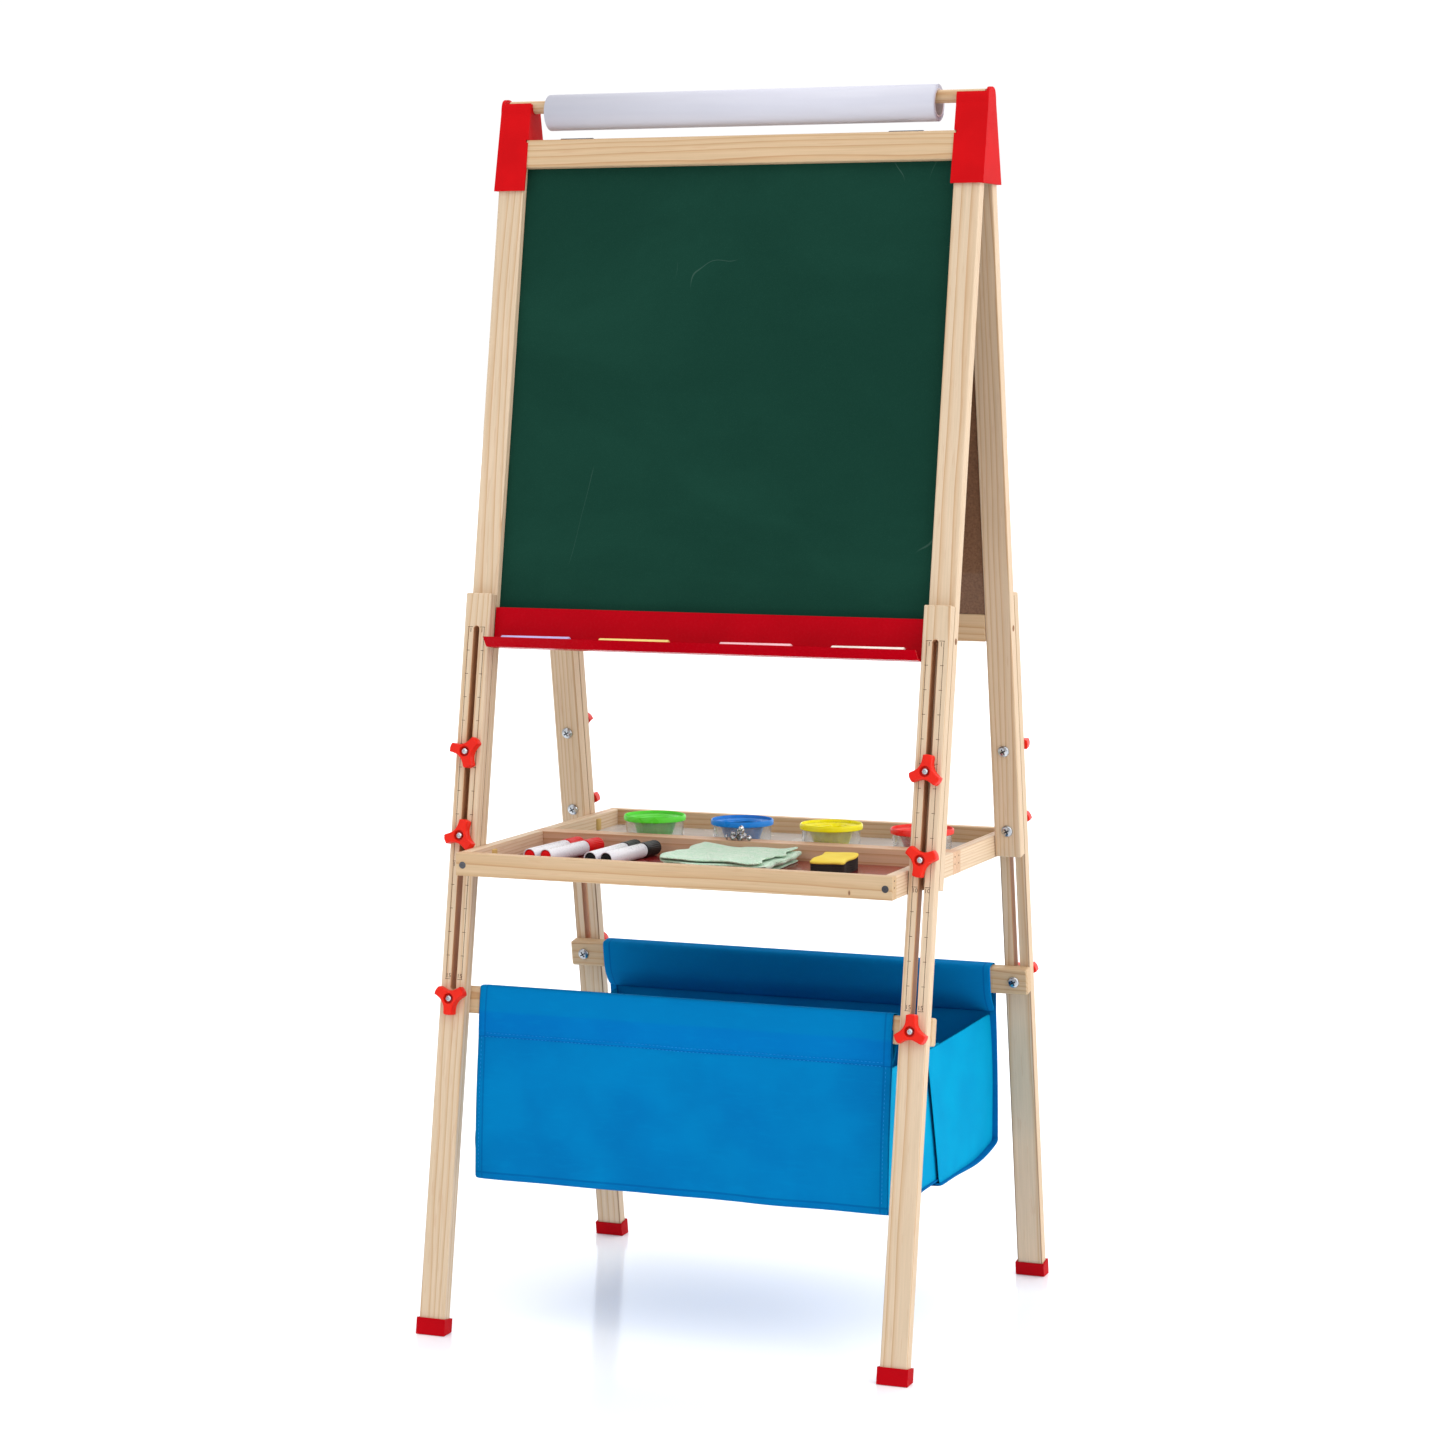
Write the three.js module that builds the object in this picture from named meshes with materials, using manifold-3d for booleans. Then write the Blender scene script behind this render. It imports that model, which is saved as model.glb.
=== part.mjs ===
// A child's double-sided easel: two leaning frames under a pair of plastic end caps, four lower legs that
// slide on slotted bolts, a paper roll, a two-box tray and a fabric bin. Millimetres, +Z up, front at -Y.
// The origin is on the floor, at the centre of the easel.
//
// Each leaning frame is described in its own coordinates: x across, m inwards from the outer face of the
// lower legs, and w up along the lean from the floor. The rear frame is the front one turned half round.
import * as THREE from 'three';
import { mergeVertices } from 'three/addons/utils/BufferGeometryUtils.js';
import Module from 'manifold-3d';

const wasm = await Module();
wasm.setup();

// ---- Driving dimensions ----
const lean = THREE.MathUtils.degToRad(9.5);
const apexGap = 5.6;
const gap = 0.3;
const pineEdge = 1.5;

const leg = { width: 29.5, thickness: 14.5, length: 794, sole: 4.5, overlap: 293.5 };
const slot = { width: 6.6, length: 394, fromTop: 35.6 };
const stile = { thickness: 15, tail: 243.6, head: 11.2 };
const board = { width: 493, height: 488, thickness: 4, backLip: 2, tongue: 5 };
const frameRail = { height: 30.5 };
const foot = { wall: 1.7, height: 17.5, edge: 1 };

const bolt = { diameter: 6, headDiameter: 12.7, headHeight: 3, reach: 11.5, clearance: 0.3 };
const boltPlace = { upperFromEnd: 121, lowerFromEnd: 30, binBelowSlot: 9.2 };
const knob = { radius: 18.5, tipHalfWidth: 5.2, tipCorner: 1, tipBulge: 1.1, waist: 7.4, thickness: 11.2, edge: 1 };
const knobFlare = { along: 0.9, across: 0.75 };
const knobRecess = { depth: 4, radius: 6 };

const ledge = { rise: 5.6, height: 44.6, wall: 2, floorDepth: 20, lipReach: 10, lipHeight: 10, endGap: 1.2 };
const markerLedgeUp = 8.7;
const dowel = { diameter: 14, endGap: 3 };
const roll = { length: 446, diameter: 39, bore: 27, offset: -2.5 };
const cap = { skirt: 66.4, seatRise: 18.1, plateTop: 11, peak: 16, wall: 2.2, topHalf: 13.3, edgeLap: 2.4 };
const capTaper = { side: 0.8, outerWall: 4.2, rib: 2.4 };
const capCrown = { shoulderIn: 0.3, shoulderDrop: 2.2, flat: 8.5 };

const binRail = { height: 29.3, thickness: 15, edge: 2.5, endOut: 1 };
const bin = { sideIn: 11, drop: 178, halfBottom: 190, wall: 2, sleeveGap: 0.6, endBelowRail: 57, dip: 13 };
const box = { depth: 210, height: 24.5, rail: 12, belowStile: 3.7, sideGap: 0.5 };
const boxFloor = { thickness: 3, groove: 4, rise: 3.5 };
const clip = { width: 39, pivotBelowTop: 13.5, barrel: 3.4, plate: 1.2, left: -208, right: 174.5 };
const clipJaw = { length: 21, heel: 3, heelRise: 4, lift: 1.2, toe: 0.9, toeRise: 1 };
const clipTab = { rise: 15.5, out: 8, thickness: 2 };

const knobTurns = {
  front_left: { upper: 46, lower: 75, bin: 30 },
  front_right: { upper: 83, lower: 21, bin: 90 },
  rear_left: { upper: 18, lower: 38, bin: 15 },
  rear_right: { upper: 59, lower: 28, bin: 32 },
};

// ---- Derived places ----
const sin = Math.sin(lean);
const cos = Math.cos(lean);
const legTop = leg.sole + leg.length;
const stileBottom = legTop - leg.overlap;
const bottomRail = stileBottom + stile.tail;
const boardBottom = bottomRail + frameRail.height;
const topRail = boardBottom + board.height;
const stileTop = topRail + frameRail.height + stile.head;
const stileFace = leg.thickness + gap;
const stileBack = stileFace + stile.thickness;
const boardFace = stileBack - board.backLip - board.thickness;
const halfDepth = apexGap / 2 + stileTop * sin + stileBack * cos;
const stileX = (board.width + leg.width) / 2;
const slotTop = legTop - slot.fromTop;
const slotBottom = slotTop - slot.length;
const boltHeights = {
  upper: stileBottom + boltPlace.upperFromEnd,
  lower: stileBottom + boltPlace.lowerFromEnd,
  bin: slotBottom - boltPlace.binBelowSlot,
};
const apexZ = stileTop * cos - stileFace * sin;
const seatZ = apexZ + cap.seatRise;
const dowelZ = seatZ + dowel.diameter / 2;
const capOuter = board.width / 2 + leg.width + capTaper.outerWall;

// y and z of a point of the front frame
const leanY = (m, w) => -halfDepth + w * sin + m * cos;
const leanZ = (m, w) => w * cos - m * sin;

// ---- Materials ----
const material = (color, roughness, metalness = 0) =>
  new THREE.MeshStandardMaterial({ color, roughness, metalness });
const pine = material(0xe6cda9, 0.6);
const chalkGreen = material(0x17402f, 0.85);
const whiteGloss = material(0xf2f2ef, 0.2);
const redPlastic = material(0xd91c20, 0.4);
const redKnob = material(0xee3023, 0.45);
const redRubber = material(0xc3061a, 0.7);
const redGloss = material(0xc3001f, 0.2);
const zinc = material(0xb9bec4, 0.3, 1);
const darkSteel = material(0x4a4d52, 0.4, 1);
const paper = material(0xe4e4f0, 0.8);
const blueFabric = material(0x0078c4, 0.9);
const redFloor = material(0x9c2b2b, 0.25);
const frostedFloor = material(0xdadcda, 0.3);

// ---- Solids ----
function toSolid(geometry) {
  const bare = geometry.clone();
  bare.deleteAttribute('normal');
  bare.deleteAttribute('uv');
  const merged = mergeVertices(bare, 1e-4);
  return new wasm.Manifold(new wasm.Mesh({
    numProp: 3,
    vertProperties: new Float32Array(merged.attributes.position.array),
    triVerts: new Uint32Array(merged.index.array),
  }));
}

function toGeometry(solid) {
  const mesh = solid.getMesh();
  const geometry = new THREE.BufferGeometry();
  geometry.setAttribute('position', new THREE.BufferAttribute(mesh.vertProperties, 3));
  geometry.setIndex(new THREE.BufferAttribute(mesh.triVerts, 1));
  geometry.computeVertexNormals();
  return geometry;
}

function cut(geometry, ...tools) {
  const result = tools.reduce((solid, tool) => solid.subtract(toSolid(tool)), toSolid(geometry));
  return toGeometry(result);
}

function join(geometry, ...others) {
  const result = others.reduce((solid, other) => solid.add(toSolid(other)), toSolid(geometry));
  return toGeometry(result);
}

// A box between two corners
function block(low, high) {
  const size = high.map((value, axis) => value - low[axis]);
  const geometry = new THREE.BoxGeometry(...size);
  return geometry.translate(...low.map((value, axis) => value + size[axis] / 2));
}

function roundedRectangle(width, height, radius) {
  const shape = new THREE.Shape();
  const [x, y] = [width / 2, height / 2];
  shape.moveTo(-x + radius, -y);
  shape.absarc(x - radius, -y + radius, radius, -Math.PI / 2, 0);
  shape.absarc(x - radius, y - radius, radius, 0, Math.PI / 2);
  shape.absarc(-x + radius, y - radius, radius, Math.PI / 2, Math.PI);
  shape.absarc(-x + radius, -y + radius, radius, Math.PI, Math.PI * 1.5);
  return shape;
}

// A straight piece with softened edges and ends, its section centred on the Z axis, from z = 0 up
function bar(width, depth, length, edge) {
  const bevel = edge * 0.6;
  const geometry = new THREE.ExtrudeGeometry(roundedRectangle(width, depth, edge), {
    depth: length - 2 * bevel,
    bevelThickness: bevel,
    bevelSize: bevel,
    bevelOffset: -bevel,
    bevelSegments: 1,
    curveSegments: 2,
  });
  return geometry.translate(0, 0, bevel);
}

// A (y, z) outline drawn out along X between two places
function alongX(points, from, to) {
  const shape = new THREE.Shape(points.map(([y, z]) => new THREE.Vector2(y, z)));
  const geometry = new THREE.ExtrudeGeometry(shape, { depth: to - from, bevelEnabled: false });
  geometry.applyMatrix4(new THREE.Matrix4().makeBasis(
    new THREE.Vector3(0, 1, 0), new THREE.Vector3(0, 0, 1), new THREE.Vector3(1, 0, 0)));
  return geometry.translate(from, 0, 0);
}

// A rod along Y of the leaning frame, from m = from to m = to
function rodAlongM(radius, from, to, segments = 12) {
  const geometry = new THREE.CylinderGeometry(radius, radius, to - from, segments);
  return geometry.translate(0, (from + to) / 2, 0);
}

// ---- The scene's groups ----
const easel = new THREE.Group();

function leaningGroup(turn) {
  const side = new THREE.Group();
  side.rotation.z = turn;
  const tilted = new THREE.Group();
  tilted.position.y = -halfDepth;
  tilted.rotation.x = -lean;
  side.add(tilted);
  easel.add(side);
  return tilted;
}

const frames = { front: leaningGroup(0), rear: leaningGroup(Math.PI) };
const hand = { left: -1, right: 1 };
// The rear frame is turned half round, so its own x runs the other way
const localX = (end, side) => (end === 'front' ? 1 : -1) * hand[side];

function addMesh(parent, name, geometry, look, position = [0, 0, 0], turn = [0, 0, 0]) {
  const mesh = new THREE.Mesh(geometry, look);
  mesh.name = name;
  mesh.position.set(...position);
  mesh.rotation.set(...turn);
  parent.add(mesh);
  return mesh;
}

// ---- Lower legs and feet ----
function slotCutter() {
  const radius = slot.width / 2;
  const shape = new THREE.Shape();
  shape.absarc(0, slotTop - radius, radius, 0, Math.PI);
  shape.absarc(0, slotBottom + radius, radius, Math.PI, 2 * Math.PI);
  const geometry = new THREE.ExtrudeGeometry(shape, {
    depth: leg.thickness + 2,
    bevelEnabled: false,
    curveSegments: 6,
  });
  return geometry.rotateX(Math.PI / 2).translate(0, leg.thickness + 1, 0);
}

function legGeometry() {
  const blank = bar(leg.width, leg.thickness, leg.length, pineEdge).translate(0, leg.thickness / 2, leg.sole);
  const binHole = rodAlongM(bolt.diameter / 2 + bolt.clearance, -1, leg.thickness + 1);
  return cut(blank, slotCutter(), binHole.translate(0, 0, boltHeights.bin));
}

function footGeometry() {
  const outer = foot.wall + gap;
  const place = (m, w) => [leanY(m, w) + halfDepth, leanZ(m, w)];
  const onFloor = (m) => [m / cos, 0];
  const outline = [
    onFloor(-outer),
    onFloor(leg.thickness + outer),
    place(leg.thickness + outer, foot.height),
    place(-outer, foot.height),
  ];
  const half = leg.width / 2 + outer;
  const body = alongX(outline, -half, half);
  const socket = block(
    [-leg.width / 2 - gap, -gap, leg.sole - gap],
    [leg.width / 2 + gap, leg.thickness + gap, foot.height + 5]);
  socket.rotateX(-lean);
  return cut(body, socket);
}

function addLegs(end) {
  for (const side of ['left', 'right']) {
    const x = localX(end, side) * stileX;
    addMesh(frames[end], `${end}_leg_${side}`, legGeometry(), pine, [x, 0, 0]);
    const ground = new THREE.Group();
    ground.rotation.z = end === 'front' ? 0 : Math.PI;
    easel.add(ground);
    addMesh(ground, `${end}_foot_${side}`, footGeometry(), redRubber, [x, -halfDepth, 0]);
  }
}

// ---- Upper frames ----
const capHalfAt = (z) => {
  const low = leanY(stileFace - gap - cap.wall, (apexZ - cap.skirt) / cos);
  const share = (z - (apexZ - cap.skirt)) / (cap.skirt + cap.seatRise);
  return -low + (cap.topHalf + low) * share;
};

// The room inside a cap, less an allowance, from below its skirt to above its top
function capRoom(allowance, from, to) {
  const low = apexZ - cap.skirt - 20;
  const high = seatZ + cap.peak + 10;
  const half = (z) => Math.max(capHalfAt(z) - cap.wall - allowance, dowel.diameter / 2 + gap);
  const outline = [
    [-half(low), low],
    [half(low), low],
    [half(seatZ), seatZ],
    [half(seatZ), high],
    [-half(seatZ), high],
    [-half(seatZ), seatZ],
  ];
  return alongX(outline, from, to);
}

// Turns a solid of the easel's own frame into the leaning frame's coordinates
function intoFrontFrame(geometry) {
  return geometry.translate(0, halfDepth, 0).rotateX(lean);
}

function stileGeometry() {
  const length = stileTop - stileBottom;
  const blank = bar(leg.width, stile.thickness, length, pineEdge);
  blank.translate(0, stileFace + stile.thickness / 2, stileBottom);
  const holes = [boltHeights.upper, boltHeights.lower].map((height) =>
    rodAlongM(bolt.diameter / 2 + bolt.clearance, stileFace - 1, stileBack + 1).translate(0, 0, height));
  const trimmed = toSolid(cut(blank, ...holes));
  const skirtZ = apexZ - cap.skirt - 20;
  const around = block([-leg.width, -4 * halfDepth, skirtZ], [leg.width, 4 * halfDepth, seatZ + 60]);
  const outsideCap = cut(around, capRoom(gap, -leg.width - 1, leg.width + 1));
  return toGeometry(trimmed.subtract(toSolid(intoFrontFrame(outsideCap))));
}

// The groove that holds the board's edge, seen from the middle of the board
function boardGroove() {
  const half = board.width / 2 + board.tongue;
  return block(
    [-half - gap, boardFace - gap, boardBottom - board.tongue - gap],
    [half + gap, boardFace + board.thickness + gap, topRail + board.tongue + gap]);
}

function addUpperFrame(end, boardName, boardLook) {
  const parent = frames[end];
  for (const side of ['left', 'right']) {
    const x = localX(end, side) * stileX;
    const groove = boardGroove().translate(-x, 0, 0);
    addMesh(parent, `${end}_stile_${side}`, cut(stileGeometry(), groove), pine, [x, 0, 0]);
  }
  const railLength = board.width - 2 * gap;
  const middle = stileFace + stile.thickness / 2;
  for (const [name, height] of [['bottom', bottomRail], ['top', topRail]]) {
    const blank = bar(frameRail.height, stile.thickness, railLength, pineEdge);
    blank.rotateY(Math.PI / 2).translate(-railLength / 2, middle, height + frameRail.height / 2);
    addMesh(parent, `${end}_${name}_rail`, cut(blank, boardGroove()), pine);
  }
  const half = board.width / 2 + board.tongue;
  addMesh(parent, boardName, block(
    [-half, boardFace, boardBottom - board.tongue],
    [half, boardFace + board.thickness, topRail + board.tongue]), boardLook);
}

// ---- Ledge that holds chalks or markers, in front of a frame's bottom rail ----
function ledgeGeometry() {
  const back = stileFace - gap;
  const low = boardBottom + ledge.rise - ledge.height;
  const front = back - ledge.floorDepth;
  const { wall } = ledge;
  const outline = [
    [back, low],
    [back, low + ledge.height],
    [back - wall, low + ledge.height],
    [back - wall, low + wall],
    [front + wall * 0.4, low + wall],
    [front - ledge.lipReach + wall * 0.7, low + ledge.lipHeight],
    [front - ledge.lipReach - wall * 0.7, low + ledge.lipHeight],
    [front - wall * 0.4, low],
  ];
  const half = board.width / 2 - ledge.endGap;
  return alongX(outline, -half, half);
}

// ---- Bolts and knobs ----
function boltGeometry() {
  const radius = bolt.diameter / 2;
  const length = stileBack + gap + bolt.reach;
  const dome = new THREE.Path();
  dome.moveTo(0, -bolt.headHeight);
  dome.quadraticCurveTo(bolt.headDiameter / 2, -bolt.headHeight, bolt.headDiameter / 2, 0);
  const profile = dome.getPoints(3);
  profile.push(new THREE.Vector2(radius, 0));
  profile.push(new THREE.Vector2(radius, length - 0.8));
  profile.push(new THREE.Vector2(radius - 0.8, length));
  profile.push(new THREE.Vector2(0, length));
  profile[0].x = 0;
  const geometry = new THREE.LatheGeometry(profile, 12);
  return geometry.rotateX(Math.PI).translate(0, stileBack + gap, 0);
}

function knobOutline() {
  const shape = new THREE.Shape();
  const third = (2 * Math.PI) / 3;
  const corner = Math.sqrt(knob.radius ** 2 - knob.tipHalfWidth ** 2) - knob.tipCorner;
  const neck = [knob.waist * knobFlare.along, knob.tipHalfWidth * knobFlare.across];
  const point = (angle, along, across) => [
    along * Math.cos(angle) - across * Math.sin(angle),
    along * Math.sin(angle) + across * Math.cos(angle),
  ];
  shape.moveTo(...point(0, corner, -knob.tipHalfWidth));
  for (let arm = 0; arm < 3; arm += 1) {
    const angle = arm * third;
    const crest = point(angle, knob.radius + knob.tipBulge, 0);
    const valley = point(angle + third / 2, knob.waist, 0);
    const next = point(angle + third, corner, -knob.tipHalfWidth);
    shape.quadraticCurveTo(...crest, ...point(angle, corner, knob.tipHalfWidth));
    shape.quadraticCurveTo(...point(angle, neck[0], neck[1]), ...valley);
    shape.quadraticCurveTo(...point(angle + third, neck[0], -neck[1]), ...next);
  }
  return shape;
}

// The knob's axis is Y of the leaning frame and its back is at m = -gap
function knobGeometry(turn) {
  const star = new THREE.ExtrudeGeometry(knobOutline(), {
    depth: knob.thickness - 2 * knob.edge,
    bevelThickness: knob.edge,
    bevelSize: knob.edge * 0.8,
    bevelOffset: -knob.edge * 0.8,
    bevelSegments: 1,
    curveSegments: 3,
  });
  star.translate(0, 0, knob.edge).rotateZ(THREE.MathUtils.degToRad(turn));
  star.rotateX(Math.PI / 2).translate(0, -gap, 0);
  const bore = rodAlongM(bolt.diameter / 2 + bolt.clearance, -knob.thickness - 1, 1);
  const outside = -gap - knob.thickness;
  const recess = rodAlongM(knobRecess.radius, outside - 1, outside + knobRecess.depth);
  return cut(star, bore, recess);
}

function addFasteners(end) {
  for (const side of ['left', 'right']) {
    const x = localX(end, side) * stileX;
    for (const place of ['upper', 'lower']) {
      const position = [x, 0, boltHeights[place]];
      addMesh(frames[end], `${end}_bolt_${place}_${side}`, boltGeometry(), zinc, position);
    }
    for (const place of ['upper', 'lower', 'bin']) {
      const turn = knobTurns[`${end}_${side}`][place];
      const position = [x, 0, boltHeights[place]];
      addMesh(frames[end], `${end}_knob_${place}_${side}`, knobGeometry(turn), redKnob, position);
    }
  }
}

// ---- Bin rails and the fabric bin ----
function binRailGeometry(grow = 0) {
  const height = binRail.height + 2 * grow;
  const thickness = binRail.thickness + 2 * grow;
  const blank = bar(height, board.width + 2 * (leg.width + binRail.endOut), thickness, binRail.edge);
  blank.rotateX(Math.PI / 2).rotateY(Math.PI / 2);
  const middle = leg.thickness + gap + binRail.thickness / 2;
  return blank.translate(0, middle + thickness / 2, boltHeights.bin);
}

function addBinRails() {
  for (const end of ['front', 'rear']) {
    const holes = [-stileX, stileX].map((x) =>
      rodAlongM(bolt.diameter / 2 + bolt.clearance, leg.thickness - 1, stileBack + 3)
        .translate(x, 0, boltHeights.bin));
    addMesh(frames[end], `${end}_bin_rail`, cut(binRailGeometry(), ...holes), pine);
  }
}

// A box of the front frame's own coordinates, in the easel's frame
const fromFrontFrame = (geometry) => geometry.rotateX(-lean).translate(0, -halfDepth, 0);

function binGeometry() {
  const half = board.width / 2 - bin.sideIn;
  const railLow = boltHeights.bin - binRail.height / 2;
  const railHigh = boltHeights.bin + binRail.height / 2;
  const [faceM, backM] = [leg.thickness + gap, leg.thickness + gap + binRail.thickness];
  const aroundRail = (grow, reach) => block(
    [-reach, faceM - grow, railLow - grow],
    [reach, backM + grow, railHigh + grow]);
  const sleeve = fromFrontFrame(aroundRail(bin.sleeveGap + bin.wall, half));
  const tunnel = fromFrontFrame(aroundRail(bin.sleeveGap, half + 1));

  const topZ = leanZ(faceM, railLow) + 1;
  const bottomZ = topZ - bin.drop;
  const topY = -leanY((faceM + backM) / 2, railLow);
  const outline = (inset, high) => [
    [-topY + inset, high],
    [-bin.halfBottom + inset, bottomZ + inset],
    [bin.halfBottom - inset, bottomZ + inset],
    [topY - inset, high],
  ];
  const endTop = leanZ(faceM, railHigh) - bin.endBelowRail;
  const body = alongX(outline(0, topZ), -half, half);
  const hollow = alongX(outline(bin.wall, topZ + 1), -half + bin.wall, half - bin.wall);
  const overEnds = alongX([
    [-topY + bin.wall, topZ + 1],
    [-topY + bin.wall, endTop],
    [0, endTop - bin.dip],
    [topY - bin.wall, endTop],
    [topY - bin.wall, topZ + 1],
  ], -half - 1, half + 1);
  const bag = toSolid(cut(body, hollow, overEnds));
  const rearSleeve = sleeve.clone().rotateZ(Math.PI);
  const rearTunnel = tunnel.clone().rotateZ(Math.PI);
  const whole = bag.add(toSolid(sleeve)).add(toSolid(rearSleeve));
  return toGeometry(whole.subtract(toSolid(tunnel)).subtract(toSolid(rearTunnel)));
}

// ---- End caps, dowel and paper roll ----
function capGeometry() {
  const skirtZ = apexZ - cap.skirt;
  const plateZ = seatZ + cap.plateTop;
  const peakZ = seatZ + cap.peak;
  const inner = board.width / 2 - cap.edgeLap;
  const roomEnd = board.width / 2 + leg.width + gap;

  const crown = new THREE.Path();
  crown.moveTo(capHalfAt(seatZ), seatZ);
  const shoulder = capHalfAt(seatZ) - capCrown.shoulderIn;
  crown.bezierCurveTo(shoulder, peakZ - capCrown.shoulderDrop, capCrown.flat, peakZ, 0, peakZ);
  const right = crown.getPoints(8).map((point) => [point.x, point.y]);
  const left = right.slice(0, -1).reverse().map(([y, z]) => [-y, z]);
  const outline = [[-capHalfAt(skirtZ), skirtZ], [capHalfAt(skirtZ), skirtZ], ...right, ...left];
  const body = alongX(outline, inner, capOuter);

  const room = capRoom(0, inner - 1, roomEnd);
  const overPlates = block([inner - 1, -40, plateZ], [roomEnd, 40, peakZ + 5]);
  const taper = Math.atan(capTaper.side / (peakZ - skirtZ));
  const shaving = block([0, -60, -20], [20, 60, peakZ - skirtZ + 20]);
  shaving.rotateY(-taper).translate(capOuter, 0, skirtZ);
  const shell = cut(body, room, overPlates, shaving);

  const ribs = [[inner, inner + capTaper.rib], [stileX, stileX + capTaper.rib]].map(([from, to], index) => {
    const low = index === 0 ? leanZ(stileFace, topRail) : apexZ + 2;
    const half = (z) => capHalfAt(z) - cap.wall + 0.5;
    return alongX([
      [-half(low), low],
      [half(low), low],
      [half(seatZ), seatZ],
      [half(seatZ), plateZ - 1],
      [-half(seatZ), plateZ - 1],
      [-half(seatZ), seatZ],
    ], from, to);
  });
  const seatRadius = dowel.diameter / 2 + 0.2;
  const cradle = new THREE.CylinderGeometry(seatRadius, seatRadius, 60, 20);
  cradle.rotateZ(Math.PI / 2).translate(stileX - 5, 0, dowelZ);
  const mouth = block([inner - 1, -seatRadius, dowelZ], [roomEnd, seatRadius, peakZ + 5]);
  const railEnd = board.width / 2 + gap;
  const railRoom = fromFrontFrame(block(
    [-railEnd, stileFace - gap, topRail - gap],
    [railEnd, stileBack + gap, topRail + frameRail.height + gap]));
  const cradleOnly = toSolid(cradle).intersect(toSolid(block([inner - 2, -20, seatZ - 5], [roomEnd, 20, peakZ])));
  const solid = toSolid(join(shell, ...ribs))
    .subtract(cradleOnly)
    .subtract(toSolid(mouth))
    .subtract(toSolid(railRoom))
    .subtract(toSolid(railRoom.clone().rotateZ(Math.PI)));
  return toGeometry(solid);
}

function addCaps() {
  addMesh(easel, 'end_cap_right', capGeometry(), redPlastic);
  addMesh(easel, 'end_cap_left', capGeometry(), redPlastic, [0, 0, 0], [0, 0, Math.PI]);
}

function addRoll() {
  const dowelLength = board.width + 2 * leg.width - 2 * dowel.endGap;
  const rod = new THREE.CylinderGeometry(dowel.diameter / 2, dowel.diameter / 2, dowelLength, 24);
  addMesh(easel, 'roll_dowel', rod, pine, [0, 0, dowelZ], [0, 0, Math.PI / 2]);

  const ring = new THREE.Shape().absarc(0, 0, roll.diameter / 2, 0, 2 * Math.PI);
  ring.holes.push(new THREE.Path().absarc(0, 0, roll.bore / 2, 0, 2 * Math.PI));
  const tube = new THREE.ExtrudeGeometry(ring, { depth: roll.length, bevelEnabled: false, curveSegments: 32 });
  const rollZ = dowelZ + dowel.diameter / 2 - roll.bore / 2 + gap;
  tube.rotateY(Math.PI / 2);
  addMesh(easel, 'paper_roll', tube, paper, [roll.offset - roll.length / 2, 0, rollZ]);
}

// ---- Two-box tray between the stiles ----
function addTray(end, floorName, floorLook) {
  const group = new THREE.Group();
  group.rotation.z = end === 'front' ? 0 : Math.PI;
  group.position.z = leanZ(stileFace, stileBottom) - box.belowStile;
  easel.add(group);

  const half = board.width / 2 - box.sideGap;
  const [near, far] = [-box.depth, 0];
  const floorBox = [
    [-half + box.rail - boxFloor.groove, near + box.rail - boxFloor.groove, boxFloor.rise],
    [half - box.rail + boxFloor.groove, far - box.rail + boxFloor.groove, boxFloor.rise + boxFloor.thickness],
  ];
  const soft = 1;
  const across = (y) => {
    const blank = bar(box.height, box.rail, 2 * half, soft);
    return blank.rotateY(Math.PI / 2).translate(-half, y, box.height / 2);
  };
  const along = (x) => {
    const blank = bar(box.rail, box.height, box.depth - 2 * box.rail, soft);
    return blank.rotateX(-Math.PI / 2).translate(x, near + box.rail, box.height / 2);
  };
  const outerRail = cut(across(near + box.rail / 2), block(...floorBox));
  addMesh(group, `${end}_box_outer_rail`, outerRail, pine);
  addMesh(group, `${end}_box_inner_rail`, cut(across(far - box.rail / 2), block(...floorBox)), pine);
  for (const side of ['left', 'right']) {
    const x = localX(end, side) * (half - box.rail / 2);
    addMesh(group, `${end}_box_side_${side}`, cut(along(x), block(...floorBox)), pine);
  }
  addMesh(group, floorName, block(...floorBox), floorLook);
}

// ---- Sprung paper clips on the rear top rail ----
function clipGeometry() {
  const pivot = [stileFace - gap - clip.barrel, topRail + frameRail.height - clip.pivotBelowTop];
  const [m, w] = pivot;
  const half = clip.width / 2;
  const barrel = new THREE.CylinderGeometry(clip.barrel, clip.barrel, clip.width, 16);
  barrel.rotateZ(Math.PI / 2).translate(0, ...pivot);
  const face = stileFace - gap;
  const end = w - clipJaw.length;
  const jaw = alongX([
    [m - clip.plate, w],
    [face - clipJaw.lift - clip.plate, end + clipJaw.heel],
    [face - clipJaw.toe, end],
    [face, end + clipJaw.toeRise],
    [face - clipJaw.lift, end + clipJaw.heelRise],
    [m + clip.plate, w],
  ], -half, half);
  const tab = alongX([
    [m - clip.plate, w],
    [m + clip.plate, w + 1],
    [m - clipTab.out + clipTab.thickness / 2, w + clipTab.rise],
    [m - clipTab.out - clipTab.thickness / 2, w + clipTab.rise - clip.plate / 2],
  ], -half, half);
  return join(barrel, jaw, tab);
}

function addClips() {
  for (const side of ['left', 'right']) {
    addMesh(frames.rear, `paper_clip_${side}`, clipGeometry(), darkSteel, [-clip[side], 0, 0]);
  }
}

// ---- The easel ----
addLegs('front');
addLegs('rear');
addUpperFrame('front', 'chalkboard', chalkGreen);
addUpperFrame('rear', 'whiteboard', whiteGloss);
addMesh(frames.front, 'chalk_ledge', ledgeGeometry(), redGloss);
addMesh(frames.rear, 'marker_ledge', ledgeGeometry(), redGloss, [0, 0, markerLedgeUp]);
addFasteners('front');
addFasteners('rear');
addBinRails();
addMesh(easel, 'fabric_bin', binGeometry(), blueFabric);
addCaps();
addRoll();
addTray('front', 'front_box_floor', redFloor);
addTray('rear', 'rear_box_floor', frostedFloor);
addClips();

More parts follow.
